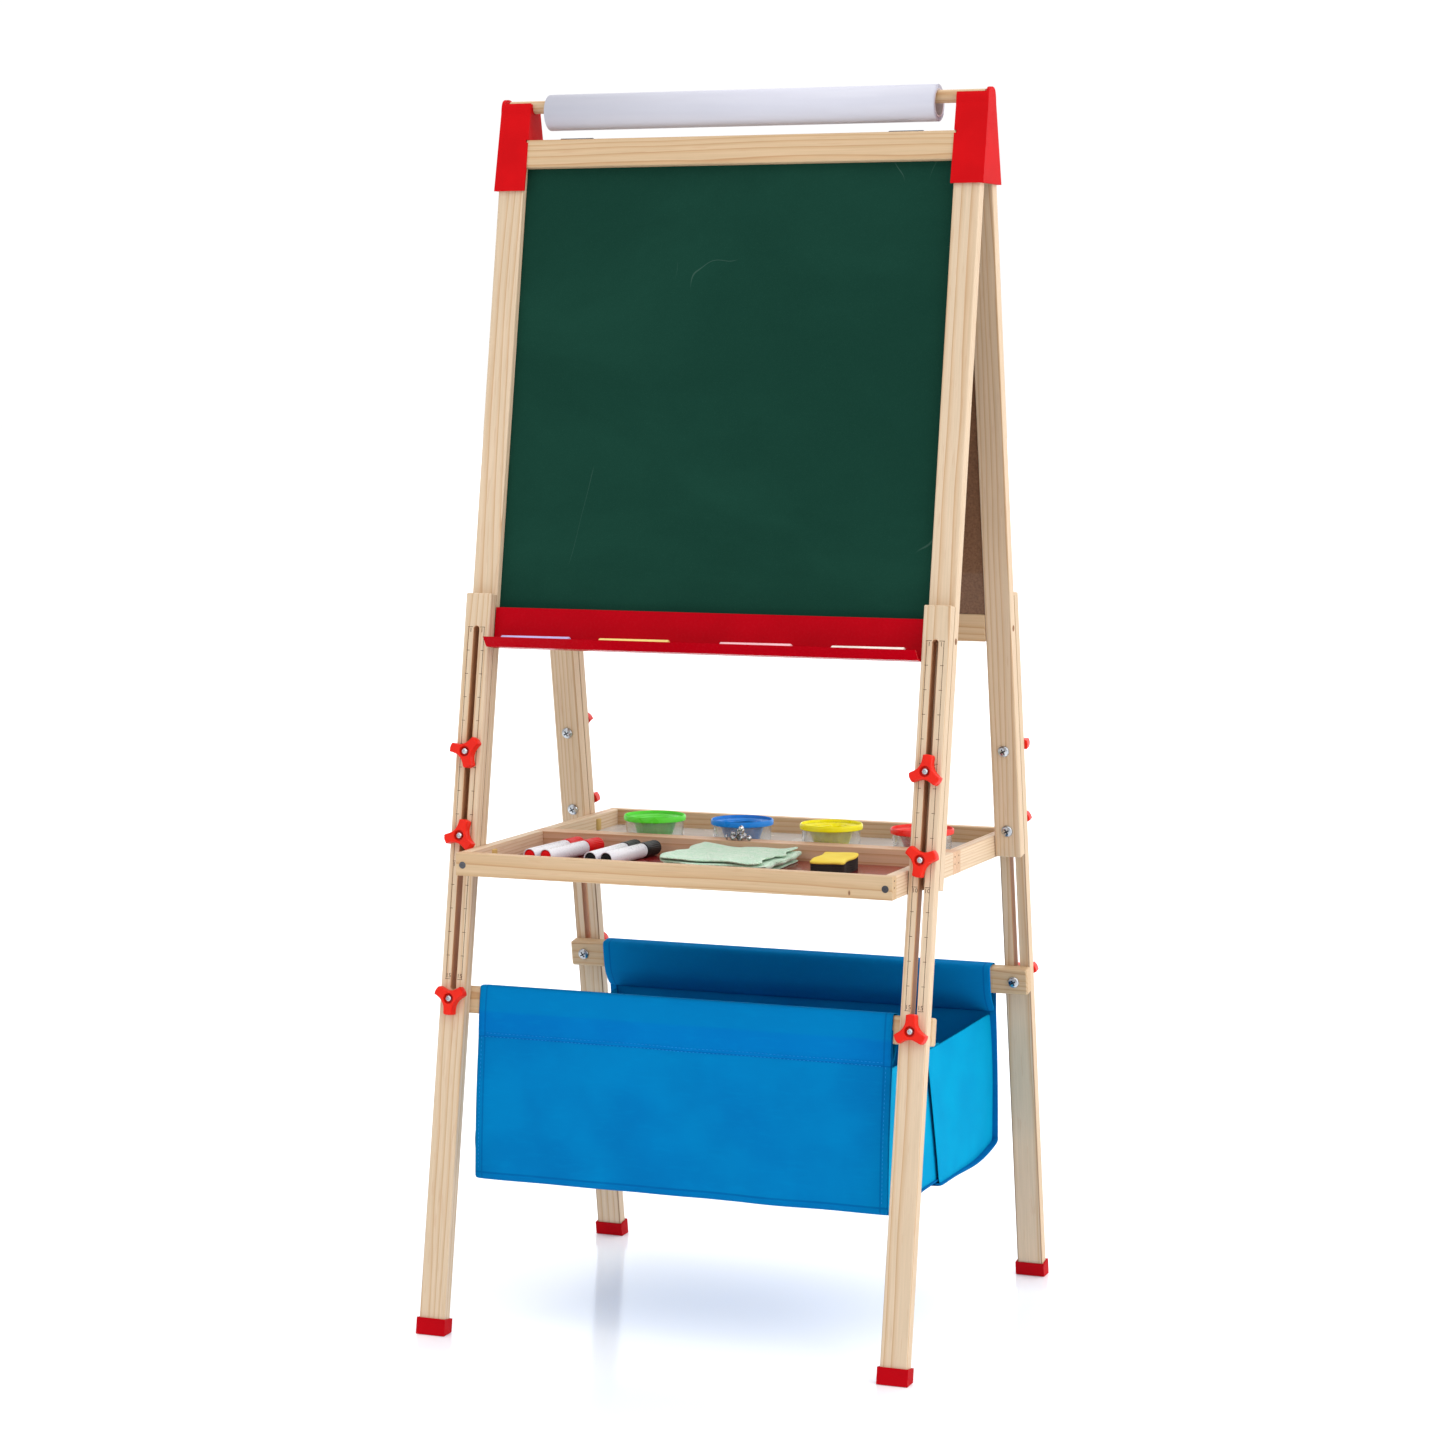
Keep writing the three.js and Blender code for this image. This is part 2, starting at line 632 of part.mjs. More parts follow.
export default easel;
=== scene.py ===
import math
import random

import bmesh
import bpy
from mathutils import Euler, Matrix, Vector


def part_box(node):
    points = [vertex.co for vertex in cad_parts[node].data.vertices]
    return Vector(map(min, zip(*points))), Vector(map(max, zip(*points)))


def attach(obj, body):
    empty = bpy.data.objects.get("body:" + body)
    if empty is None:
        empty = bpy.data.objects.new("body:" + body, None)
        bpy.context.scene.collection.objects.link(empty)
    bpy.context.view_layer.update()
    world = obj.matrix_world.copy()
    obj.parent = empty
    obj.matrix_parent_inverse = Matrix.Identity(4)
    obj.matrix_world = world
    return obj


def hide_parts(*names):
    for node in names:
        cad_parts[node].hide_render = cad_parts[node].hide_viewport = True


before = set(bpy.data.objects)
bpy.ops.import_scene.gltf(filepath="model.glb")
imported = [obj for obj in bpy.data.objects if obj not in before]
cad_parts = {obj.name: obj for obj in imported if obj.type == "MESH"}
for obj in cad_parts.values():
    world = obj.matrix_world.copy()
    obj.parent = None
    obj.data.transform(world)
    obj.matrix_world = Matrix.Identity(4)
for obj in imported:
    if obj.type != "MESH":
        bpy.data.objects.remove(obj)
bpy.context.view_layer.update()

mm = 0.001
lean = math.radians(9.5)  # both frames lean in by this much
halfDepth = 248.2056  # half the depth at the floor, mm
ends = {"front": 1, "rear": -1}
hands = {"left": -1, "right": 1}
legX = 261.25  # middle of the legs, mm


def leanFrame(end, x, m, w):
    # local x across, y in from the legs' outer face, z up the lean; x is the easel's own
    turn = Matrix.Rotation(-lean, 4, "X")
    if end == "rear":
        turn = Matrix.Rotation(math.pi, 4, "Z") @ turn
    y = (-halfDepth + w * math.sin(lean) + m * math.cos(lean)) * ends[end]
    z = w * math.cos(lean) - m * math.sin(lean)
    return Matrix.Translation(Vector((x, y, z)) * mm) @ turn


# material helpers
def newMaterial(name, **sockets):
    material = bpy.data.materials.new(name)
    material.use_nodes = True
    shader = material.node_tree.nodes["Principled BSDF"]
    for socket, value in sockets.items():
        shader.inputs[socket.replace("_", " ")].default_value = value
    return material, material.node_tree, shader


def addNode(tree, kind, inputs=None, **settings):
    node = tree.nodes.new("ShaderNode" + kind)
    for setting, value in settings.items():
        setattr(node, setting, value)
    for socket, value in (inputs or {}).items():
        if isinstance(value, bpy.types.NodeSocket):
            tree.links.new(value, node.inputs[socket])
        else:
            node.inputs[socket].default_value = value
    return node


def place(tree, start=(0, 0, 0), turn=(0, 0, 0), size=(1, 1, 1)):
    # object coordinates seen from a start point, with a turn and a size
    coords = addNode(tree, "TexCoord").outputs["Object"]
    inputs = {"Vector": coords, "Location": start, "Rotation": turn, "Scale": size}
    return addNode(tree, "Mapping", inputs, vector_type="TEXTURE").outputs[0]


def noise(tree, vector, scale, detail=2.0, roughness=0.5, distortion=0.0):
    inputs = {"Vector": vector, "Scale": scale, "Detail": detail, "Roughness": roughness, "Distortion": distortion}
    return addNode(tree, "TexNoise", inputs).outputs[0]


def calc(tree, operation, a, b=0.5):
    return addNode(tree, "Math", {0: a, 1: b}, operation=operation).outputs[0]


def times(tree, a, b):
    return calc(tree, "MULTIPLY", a, b)


def parted(tree, vector):
    return addNode(tree, "SeparateXYZ", {0: vector}).outputs


def between(tree, value, low, high, toLow=0.0, toHigh=1.0):
    inputs = {"Value": value, "From Min": low, "From Max": high, "To Min": toLow, "To Max": toHigh}
    return addNode(tree, "MapRange", inputs, interpolation_type="SMOOTHSTEP").outputs[0]


def ramp(tree, value, stops):
    node = addNode(tree, "ValToRGB", {0: value})
    elements = node.color_ramp.elements
    while len(elements) < len(stops):
        elements.new(0.5)
    for element, (position, color) in zip(elements, stops):
        element.position = position
        element.color = (*color, 1)
    return node.outputs[0]


def mixColor(tree, share, a, b, blend="MIX"):
    colors = [(*c, 1) if isinstance(c, tuple) and len(c) == 3 else c for c in (a, b)]
    inputs = {0: share, 6: colors[0], 7: colors[1]}
    return addNode(tree, "Mix", inputs, data_type="RGBA", blend_type=blend).outputs[2]


def addBump(tree, shader, height, strength, distance):
    bump = addNode(tree, "Bump", {"Height": height, "Strength": strength, "Distance": distance})
    tree.links.new(bump.outputs[0], shader.inputs["Normal"])


def feed(tree, shader, **sockets):
    for socket, value in sockets.items():
        tree.links.new(value, shader.inputs[socket.replace("_", " ")])


def color255(r, g, b):
    def one(c):
        c /= 255
        return c / 12.92 if c <= 0.04045 else ((c + 0.055) / 1.055) ** 2.4
    return (one(r), one(g), one(b))


# pine
pineLook = {
    "pale": color255(226, 201, 173),
    "middle": color255(218, 187, 154),
    "late": color255(204, 164, 126),
    "ringWidth": 3.4,
    "stretch": 9,
    "wobble": 0.011,
    "fibreTone": 0.13,
    "railTone": (0.92, 0.85, 0.74),
    "dividerTone": (0.97, 0.83, 0.77),
    "pore": color255(190, 140, 104),
    # painted shade colour for the groove between leg and stile
    "gap": color255(132, 92, 60),
    "knot": color255(112, 70, 42),
}
grainTurn = {
    "x": (0, math.pi / 2, 0),
    "y": (-math.pi / 2, 0, 0),
    "front": (-lean, 0, 0),
    "rear": (-lean, 0, math.pi),
}
knots = {  # x, y, z in mm, then half widths across and up
    "front_box_outer_railPine": [(199.2, -210, 497.6, 1.7, 3.6)],
    "front_top_railPine": [(-203, -43, 1276, 0.6, 0.8)],
    "front_stile_rightPine": [(268, -75, 1062, 1.6, 5.0)],
}
dice = random.Random(11)


def pine(name, centre, along, flat=0.0, scorch=None):
    # solid growth rings round a pith that lies beside the piece, so that every face and end agrees
    look = pineLook
    material, tree, shader = newMaterial(name, Roughness=0.5, Specular_IOR_Level=0.3)
    angle = flat + dice.uniform(-0.7, 0.7)
    reach = dice.uniform(26, 60) * mm
    turn = Euler(grainTurn[along])
    pith = turn.to_matrix() @ Vector((math.cos(angle), math.sin(angle), 0)) * reach
    start = Vector(centre) + pith + Vector([dice.uniform(-0.2, 0.2) if axis == along else 0 for axis in "xyz"])
    rings = place(tree, start, turn, (1, 1, look["stretch"]))
    warp = addNode(tree, "TexNoise", {"Vector": rings, "Scale": 16.0, "Detail": 2.0}).outputs["Color"]
    warp = addNode(tree, "VectorMath", {0: warp, 1: (0.5, 0.5, 0.5)}, operation="SUBTRACT").outputs[0]
    warp = addNode(tree, "VectorMath", {0: warp, "Scale": look["wobble"] * dice.uniform(0.7, 1.5)}, operation="SCALE")
    bent = addNode(tree, "VectorMath", {0: rings, 1: warp.outputs[0]}, operation="ADD").outputs[0]
    scale = 2 * math.pi / (20 * look["ringWidth"] * dice.uniform(0.75, 1.3) * mm)
    wave = addNode(tree, "TexWave", {"Vector": bent, "Scale": scale, "Distortion": 0.5, "Detail": 2.0},
                   wave_type="RINGS", rings_direction="Z", wave_profile="SAW").outputs[0]
    color = ramp(tree, wave, [(0.0, look["pale"]), (0.5, look["pale"]), (0.84, look["middle"]),
                              (0.95, look["late"]), (1.0, look["pale"])])
    fibres = noise(tree, place(tree, start, turn, (1, 1, 45)), 620.0, 3.0, 0.6)
    blotch = noise(tree, place(tree, start, turn, (1, 1, 3)), 11.0, 3.0)
    tone = calc(tree, "ADD", times(tree, fibres, look["fibreTone"] * 2), times(tree, blotch, 0.16))
    tone = calc(tree, "ADD", tone, 0.82 - look["fibreTone"] + dice.uniform(-0.02, 0.03))
    grey = addNode(tree, "CombineColor", {0: tone, 1: tone, 2: calc(tree, "POWER", tone, 1.25)}).outputs[0]
    color = mixColor(tree, 1.0, color, grey, "MULTIPLY")
    if along == "x":
        tone = look["dividerTone"] if "inner_rail" in name else look["railTone"]
        color = mixColor(tree, 1.0, color, tone, "MULTIPLY")
    pores = between(tree, noise(tree, place(tree, start, turn, (1, 1, 14)), 420.0, 1.0), 0.63, 0.72)
    color = mixColor(tree, times(tree, pores, 0.22), color, look["pore"])
    for x, y, z, width, height in knots.get(name, ()):
        spot = addNode(tree, "VectorMath", {0: place(tree, Vector((x, y, z)) * mm, (0, 0, 0), (width, 4, height))},
                       operation="LENGTH").outputs["Value"]
        swirl = noise(tree, place(tree), 900.0, 2.0)
        edge = calc(tree, "ADD", spot, times(tree, swirl, 0.0004))
        color = mixColor(tree, between(tree, edge, 0.0006, 0.0026, 0.45, 0.0), color, look["late"])
        color = mixColor(tree, between(tree, edge, 0.0005, 0.0012, 0.9, 0.0), color, look["knot"])
    if scorch:
        color = scorch(tree, color)
    rough = between(tree, fibres, 0.2, 0.8, 0.62, 0.46)
    feed(tree, shader, Base_Color=color, Roughness=rough)
    height = calc(tree, "ADD", times(tree, wave, 0.5), fibres)
    addBump(tree, shader, height, 0.22, 0.00025)
    return material


slotLook = {
    "width": 6.6,
    "top": 762.9,
    "bottom": 368.9,
    "scorch": color255(178, 124, 86),
    "edge": color255(204, 158, 118),
}


def slotScorch(end, x):
    # the router leaves the slot's walls dark, and its edges a little
    def paint(tree, color):
        look = slotLook
        start = leanFrame(end, x, 0, 0).translation
        parts = parted(tree, place(tree, start, grainTurn[end]))
        middle = (look["top"] + look["bottom"]) / 2 * mm
        half = (look["top"] - look["bottom"] - look["width"]) / 2 * mm
        up = calc(tree, "ABSOLUTE", calc(tree, "SUBTRACT", parts[2], middle))
        past = calc(tree, "MAXIMUM", calc(tree, "SUBTRACT", up, half), 0.0)
        square = calc(tree, "ADD", calc(tree, "POWER", parts[0], 2.0), calc(tree, "POWER", past, 2.0))
        away = calc(tree, "SQRT", square)
        radius = look["width"] / 2 * mm
        soft = between(tree, away, radius + 0.1 * mm, radius + 0.9 * mm, 0.55, 0.0)
        color = mixColor(tree, soft, color, look["edge"])
        wall = between(tree, away, radius + 0.02 * mm, radius + 0.12 * mm, 1.0, 0.0)
        streak = noise(tree, place(tree, start, grainTurn[end], (1, 1, 8)), 160.0, 2.0)
        burnt = mixColor(tree, streak, look["scorch"], look["edge"])
        return gapShade(tree, mixColor(tree, wall, color, burnt), end, x)
    return paint


gapLook = {"m": 14.65, "legTop": 798.5}


def gapShade(tree, color, end, x):
    # painted shade: the rounded edges of leg and stile meet in a groove, which is painted as a darker line as far up
    # as the leg goes
    look = pineLook
    start = leanFrame(end, x, gapLook["m"], gapLook["legTop"]).translation
    parts = parted(tree, place(tree, start, grainTurn[end]))
    off = calc(tree, "ABSOLUTE", parts[1])
    out = calc(tree, "ABSOLUTE", parts[0])
    line = times(tree, between(tree, off, 0.0004, 0.0013, 0.75, 0.0), between(tree, out, 0.0128, 0.0138))
    below = between(tree, parts[2], -0.001, 0.0, 1.0, 0.0)
    return mixColor(tree, times(tree, line, below), color, look["gap"])


def paintPine():
    for node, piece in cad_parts.items():
        centre = (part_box(node)[0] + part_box(node)[1]) / 2
        end = node.split("_")[0]
        if "stile" in node or "_leg_" in node:
            x = legX * hands[node.split("_")[2]]
            scorch = slotScorch(end, x) if "_leg_" in node else lambda tree, color: gapShade(tree, color, end, x)
            material = pine(node + "Pine", centre, end, math.pi / 2, scorch)
        elif "box_side" in node:
            material = pine(node + "Pine", centre, "y", math.pi / 2)
        elif "rail" in node or node == "roll_dowel":
            material = pine(node + "Pine", centre, "x", math.pi / 2)
        else:
            continue
        paint(piece, material)


def paint(piece, material):
    piece.data.materials.clear()
    piece.data.materials.append(material)


# the other finishes
def plastic(name, color, deep, roughness, grain=900.0, bump=0.12, gloss=0.5, coat=0.0):
    material, tree, shader = newMaterial(name, Specular_IOR_Level=gloss, Coat_Weight=coat, Coat_Roughness=0.08)
    cloud = noise(tree, place(tree), 26.0, 3.0)
    fine = noise(tree, place(tree), grain, 2.0, 0.6)
    feed(tree, shader, Base_Color=mixColor(tree, between(tree, cloud, 0.3, 0.7), deep, color),
         Roughness=between(tree, fine, 0.25, 0.75, roughness * 0.85, roughness * 1.15))
    addBump(tree, shader, fine, bump, 0.00025)
    return material


def chalkPaint():
    # matt green paint with the cloudy haze that a duster leaves, and a few faint scratches
    material, tree, shader = newMaterial("chalkboardPaint", Specular_IOR_Level=0.05, Roughness=0.75)
    haze = between(tree, noise(tree, place(tree, size=(1.6, 1, 1)), 7.0, 5.0, 0.6, 0.4), 0.35, 0.8)
    grit = noise(tree, place(tree), 1500.0, 2.0)
    color = mixColor(tree, haze, color255(15, 55, 44), color255(20, 62, 50))
    color = mixColor(tree, times(tree, between(tree, grit, 0.45, 0.8), 0.25), color, color255(44, 88, 72))
    path = noise(tree, place(tree, turn=(0.1, 0.2, 0.3), size=(1, 1, 3)), 13.0, 1.0)
    line = calc(tree, "ABSOLUTE", calc(tree, "SUBTRACT", path, 0.5))
    somewhere = between(tree, noise(tree, place(tree, (0.3, 0.1, 0.2)), 9.0, 0.0), 0.66, 0.72)
    scratch = times(tree, between(tree, line, 0.0004, 0.0016, 1.0, 0.0), somewhere)
    color = mixColor(tree, times(tree, scratch, 0.14), color, color255(120, 150, 138))
    feed(tree, shader, Base_Color=boardBack(tree, color, "front")[0])
    addBump(tree, shader, grit, 0.2, 0.0002)
    return material


boardLook = {
    "face": 23.8,
    "thickness": 4,
    "hardboard": color255(128, 90, 62),
    "hardboardDark": color255(104, 70, 46),
}


def boardBack(tree, color, end):
    # bare hardboard shows on the board's inner side
    look = boardLook
    start = leanFrame(end, 0, look["face"] + look["thickness"] / 2, 0).translation
    depth = parted(tree, place(tree, start, grainTurn[end]))[1]
    chips = noise(tree, place(tree), 420.0, 4.0, 0.65)
    back = mixColor(tree, between(tree, chips, 0.3, 0.7), look["hardboardDark"], look["hardboard"])
    bare = between(tree, depth, 0.0018, 0.0019)
    return mixColor(tree, bare, color, back), bare


def whiteFace():
    material, tree, shader = newMaterial("whiteboardFace", Specular_IOR_Level=0.5, Coat_Weight=0.3,
                                         Coat_Roughness=0.05)
    cloud = noise(tree, place(tree), 5.0, 4.0)
    color = mixColor(tree, between(tree, cloud, 0.3, 0.7), color255(226, 227, 228), color255(236, 236, 235))
    backed, bare = boardBack(tree, color, "rear")
    feed(tree, shader, Base_Color=backed, Roughness=addNode(tree, "Mix", {0: bare, 2: 0.16, 3: 0.75}).outputs[0])
    addBump(tree, shader, noise(tree, place(tree), 60.0, 2.0), 0.04, 0.0005)
    return material


def trayPanel(name, color, deep, roughness):
    # a thin varnished panel with a faint fibre under the gloss and some dust
    material, tree, shader = newMaterial(name, Specular_IOR_Level=0.5, Coat_Weight=0.35, Coat_Roughness=0.12)
    fibre = noise(tree, place(tree, size=(6, 1, 1)), 240.0, 3.0)
    cloud = noise(tree, place(tree), 18.0, 3.0)
    mixed = mixColor(tree, between(tree, cloud, 0.3, 0.7), deep, color)
    mixed = mixColor(tree, times(tree, between(tree, fibre, 0.5, 0.8), 0.07), mixed, (0.8, 0.75, 0.72))
    feed(tree, shader, Base_Color=mixed, Roughness=between(tree, cloud, 0.3, 0.7, roughness, roughness * 1.5))
    addBump(tree, shader, fibre, 0.08, 0.0002)
    return material


def metal(name, color, deep, roughness=0.28, scale=420.0):
    material, tree, shader = newMaterial(name, Metallic=1.0)
    cloud = noise(tree, place(tree), 90.0, 3.0)
    fine = noise(tree, place(tree, size=(1, 1, 4)), scale, 3.0)
    feed(tree, shader, Base_Color=mixColor(tree, between(tree, cloud, 0.3, 0.7), deep, color),
         Roughness=between(tree, fine, 0.2, 0.8, roughness * 0.7, roughness * 1.4))
    addBump(tree, shader, fine, 0.12, 0.0001)
    return material


def printedPaper():
    material, tree, shader = newMaterial("rollPaper", Roughness=0.75, Specular_IOR_Level=0.25)
    fibre = noise(tree, place(tree), 800.0, 3.0)
    band = noise(tree, place(tree, size=(12, 1, 1)), 60.0, 2.0)
    color = mixColor(tree, between(tree, band, 0.3, 0.7), color255(202, 202, 214), color255(208, 208, 219))
    feed(tree, shader, Base_Color=color)
    addBump(tree, shader, calc(tree, "ADD", fibre, times(tree, band, 1.5)), 0.06, 0.0003)
    return material


# mesh helpers
def addPiece(name, bm, materials, body, smooth=32, frameOf=None, modifiers=()):
    if frameOf is not None:
        bmesh.ops.transform(bm, matrix=frameOf, verts=bm.verts)
    mesh = bpy.data.meshes.new(name)
    bm.to_mesh(mesh)
    bm.free()
    for material in materials if isinstance(materials, (list, tuple)) else [materials]:
        mesh.materials.append(material)
    if smooth:
        mesh.shade_smooth()
        mesh.set_sharp_from_angle(angle=math.radians(smooth))
    piece = bpy.data.objects.new(name, mesh)
    bpy.context.scene.collection.objects.link(piece)
    for kind, settings in modifiers:
        modifier = piece.modifiers.new(kind.title(), kind)
        for setting, value in settings.items():
            setattr(modifier, setting, value)
    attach(piece, body)
    return piece


def newMesh():
    bm = bmesh.new()
    bm.loops.layers.uv.new("Cloth")
    return bm


def ring(bm, points):
    # a closed loop of edges through the points, in mm
    verts = bmesh.ops.create_circle(bm, segments=len(points), radius=1)["verts"]
    for vert, point in zip(verts, points):
        vert.co = Vector(point) * mm
    return list({edge for vert in verts for edge in vert.link_edges})


def loft(bm, rings, closed=False):
    loops = [ring(bm, points) for points in rings]
    pairs = list(zip(loops, loops[1:])) + ([(loops[-1], loops[0])] if closed else [])
    for one, other in pairs:
        bmesh.ops.bridge_loops(bm, edges=one + other)
    if not closed:
        for loop in (loops[0], loops[-1]):
            bmesh.ops.contextual_create(bm, geom=loop)
    bmesh.ops.recalc_face_normals(bm, faces=bm.faces)


def lathe(bm, profile, steps=40, axis="z", at=(0, 0, 0)):
    # (radius, height) pairs in mm, turned once round the axis
    verts = [bm.verts.new(Vector((radius, 0, height)) * mm) for radius, height in profile]
    edges = [bm.edges.new(pair) for pair in zip(verts, verts[1:])]
    made = set(bm.verts) - set(verts)
    bmesh.ops.spin(bm, geom=verts + edges, cent=(0, 0, 0), axis=(0, 0, 1), angle=2 * math.pi, steps=steps,
                   use_merge=True)
    fresh = [vert for vert in bm.verts if vert not in made]
    bmesh.ops.remove_doubles(bm, verts=fresh, dist=1e-6)
    fresh = [vert for vert in bm.verts if vert not in made]
    turn = {"z": Matrix(), "y": Matrix.Rotation(-math.pi / 2, 4, "X"), "x": Matrix.Rotation(math.pi / 2, 4, "Y")}
    bmesh.ops.transform(bm, matrix=Matrix.Translation(Vector(at) * mm) @ turn[axis], verts=fresh)
    bmesh.ops.recalc_face_normals(bm, faces=list({face for vert in fresh for face in vert.link_faces}))
    return fresh


def sweepSheet(bm, points, step, count):
    # an open line of points in mm, extruded count times by one step into a sheet
    verts = [bm.verts.new(Vector(point) * mm) for point in points]
    edges = [bm.edges.new(pair) for pair in zip(verts, verts[1:])]
    for _ in range(count):
        made = bmesh.ops.extrude_edge_only(bm, edges=edges)["geom"]
        fresh = [part for part in made if isinstance(part, bmesh.types.BMVert)]
        bmesh.ops.translate(bm, vec=Vector(step) * mm, verts=fresh)
        edges = [part for part in made if isinstance(part, bmesh.types.BMEdge)
                 and part.verts[0] in fresh and part.verts[1] in fresh]


def box(bm, low, high, edge=0.0, segments=2):
    size = [(b - a) * mm for a, b in zip(low, high)]
    middle = [(b + a) / 2 * mm for a, b in zip(low, high)]
    made = bmesh.ops.create_cube(bm, size=1, matrix=Matrix.Translation(middle) @ Matrix.Diagonal((*size, 1)))["verts"]
    if edge:
        edges = list({e for vert in made for e in vert.link_edges})
        bmesh.ops.bevel(bm, geom=edges, offset=edge * mm, segments=segments, profile=0.5, affect="EDGES", material=-1,
                        clamp_overlap=True)


def roundedBox(halfX, halfY, radius, steps=6):
    # the outline of a rectangle with round corners, as (x, y) in mm
    points = []
    for cornerX, cornerY, start in ((1, 1, 0), (-1, 1, 90), (-1, -1, 180), (1, -1, 270)):
        for step in range(steps + 1):
            angle = math.radians(start + 90 * step / steps)
            points.append((cornerX * (halfX - radius) + radius * math.cos(angle),
                           cornerY * (halfY - radius) + radius * math.sin(angle)))
    return points


# knobs and bolts
knobSizes = {"radius": 18.5, "tip": 5.4, "neck": (7.3, 5.0), "waist": 8.8, "back": -0.4, "front": -11.4, "edge": 1.3,
             "hub": 7.6, "well": 5.4, "wellFloor": -7.2, "bore": 3.25}
boltHeights = {"upper": 626.0, "lower": 535.0, "bin": 359.7}
boltSizes = {"shaft": 2.95, "head": 6.4, "dome": 3.1, "reach": 11.6, "stileBack": 29.8}


def curve(start, control, stop, shares):
    # points of a quadratic Bezier curve
    return [start.lerp(control, t).lerp(control.lerp(stop, t), t) for t in shares]


def knobArm(sizes, steps=10):
    # one arm's outline from valley to valley about the x axis: side, flat tip, side
    corner = Vector((math.sqrt(sizes["radius"] ** 2 - sizes["tip"] ** 2) - 0.9, sizes["tip"]))
    valley = Vector((math.cos(math.pi / 3), math.sin(math.pi / 3))) * sizes["waist"]
    neck = Vector(sizes["neck"])
    side = curve(valley, neck, corner, [step / steps for step in range(steps + 1)])
    crest = Vector((sizes["radius"] + 1.0, 0))
    mirrored = Vector((corner.x, -corner.y))
    tip = curve(mirrored, crest, corner, (0.06, 0.2, 0.4, 0.6, 0.8, 0.94))
    lower = [Vector((point.x, -point.y)) for point in side]
    return lower[1:-1] + tip + side[:0:-1]


def knobOutline(sizes, shrink):
    points = []
    for arm in range(3):
        turn = Matrix.Rotation(arm * 2 * math.pi / 3, 2)
        points += [turn @ point for point in knobArm(sizes)]
    out = []
    for index, point in enumerate(points):
        along = points[(index + 1) % len(points)] - points[index - 1]
        normal = Vector((along.y, -along.x)).normalized()
        out.append(point - normal * shrink)
    return out


def makeKnob(name, end, side, level, turn):
    sizes = knobSizes
    bm = newMesh()
    spin = Matrix.Rotation(math.radians(turn), 2)

    def star(depth, shrink):
        return [(p.x, depth, p.y) for p in (spin @ q for q in knobOutline(sizes, shrink))]

    count = len(knobOutline(sizes, 0))
    start = math.atan2(*reversed(spin @ knobOutline(sizes, 0)[0]))

    def circle(depth, radius):
        angles = [start + 2 * math.pi * i / count for i in range(count)]
        return [(radius * math.cos(a), depth, radius * math.sin(a)) for a in angles]

    back, front, edge = sizes["back"], sizes["front"], sizes["edge"]
    loft(bm, [
        circle(back, sizes["bore"]), star(back, 0.5), star(back - 0.5, 0), star(front + edge, 0.25),
        star(front + edge * 0.35, 0.25 + edge * 0.3), star(front, 0.25 + edge),
        circle(front + 0.1, sizes["hub"] * 0.78), circle(front + 0.6, sizes["well"] + 0.25),
        circle(front + 1.4, sizes["well"]),
        circle(sizes["wellFloor"], sizes["well"] - 0.2), circle(sizes["wellFloor"], sizes["bore"]),
    ], closed=True)
    node = f"{end}_knob_{level}_{side}"
    piece = addPiece(name, bm, looks["knob"], node, 38,
                     leanFrame(end, legX * hands[side], 0, boltHeights[level]))
    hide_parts(node)


def makeCross(name, frameOf, centre, body, arm=3.3):
    # the driver's cross in a screw head, as a dark solid cross: painted shade of the recess
    bm = newMesh()
    for low, high in (((-arm, -0.75), (arm, 0.75)), ((-0.75, -arm), (0.75, arm))):
        box(bm, (low[0], centre - 1.2, low[1]), (high[0], centre, high[1]), 0.2, 1)
    addPiece(name, bm, looks["recess"], body, 40, frameOf @ Matrix.Rotation(0.5, 4, "Y"))


def makeBolt(name, end, side, level, body, stands=None):
    sizes = boltSizes
    bm = newMesh()
    back, reach = sizes["stileBack"] + 0.3, -sizes["reach"]
    head, dome, shaft = sizes["head"], sizes["dome"], sizes["shaft"]
    bowl = [(head * math.cos(a), back + 0.35 + dome * math.sin(a)) for a in [i * math.pi / 16 for i in range(8)]]
    profile = [(0, back + 0.35 + dome)] + bowl[::-1] + [(head, back), (shaft, back)]
    thread = -2.0
    profile.append((shaft, thread))
    while thread > reach + 1.2:
        profile += [(shaft, thread - 0.12), (shaft - 0.36, thread - 0.5), (shaft, thread - 0.88)]
        thread -= 1.0
    profile += [(shaft - 0.9, reach), (1.5, reach + 0.02), (1.1, reach + 0.8), (0, reach + 0.9)]
    lathe(bm, profile, 28, "y")
    frameOf = leanFrame(end, legX * hands[side], 0, boltHeights[level])
    piece = addPiece(name, bm, looks["zinc"], body, 40, frameOf)
    makeCross(name.replace("turned", "cross"), frameOf, back + dome + 0.5, body)
    if stands:
        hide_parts(stands)


knobTurns = {
    "front_left": {"upper": 46, "lower": 75, "bin": 30},
    "front_right": {"upper": 83, "lower": 21, "bin": 90},
    "rear_left": {"upper": 18, "lower": 38, "bin": 15},
    "rear_right": {"upper": 59, "lower": 28, "bin": 32},
}


def makeFasteners():
    for end in ends:
        for side in hands:
            for level in boltHeights:
                node = f"{end}_bolt_{level}_{side}"
                body = f"{end}_legs" if level == "bin" else "upper_frame"
                makeBolt(node + ".turned", end, side, level, body, None if level == "bin" else node)
                turn = knobTurns[f"{end}_{side}"][level]
                makeKnob(f"{end}_knob_{level}_{side}.moulded", end, side, level, turn)
    print("knobs and bolts made")


# the printed ruler on each lower leg
rulerSizes = {"line": 9.3, "stroke": 0.55, "tick": 2.7, "pitch": 25.4, "first": 761.5, "count": 15, "lift": 0.06,
              "numeral": 6.4, "relief": 0.04, "over": 0.9, "numeralIn": 2.7, "long": 1.9}


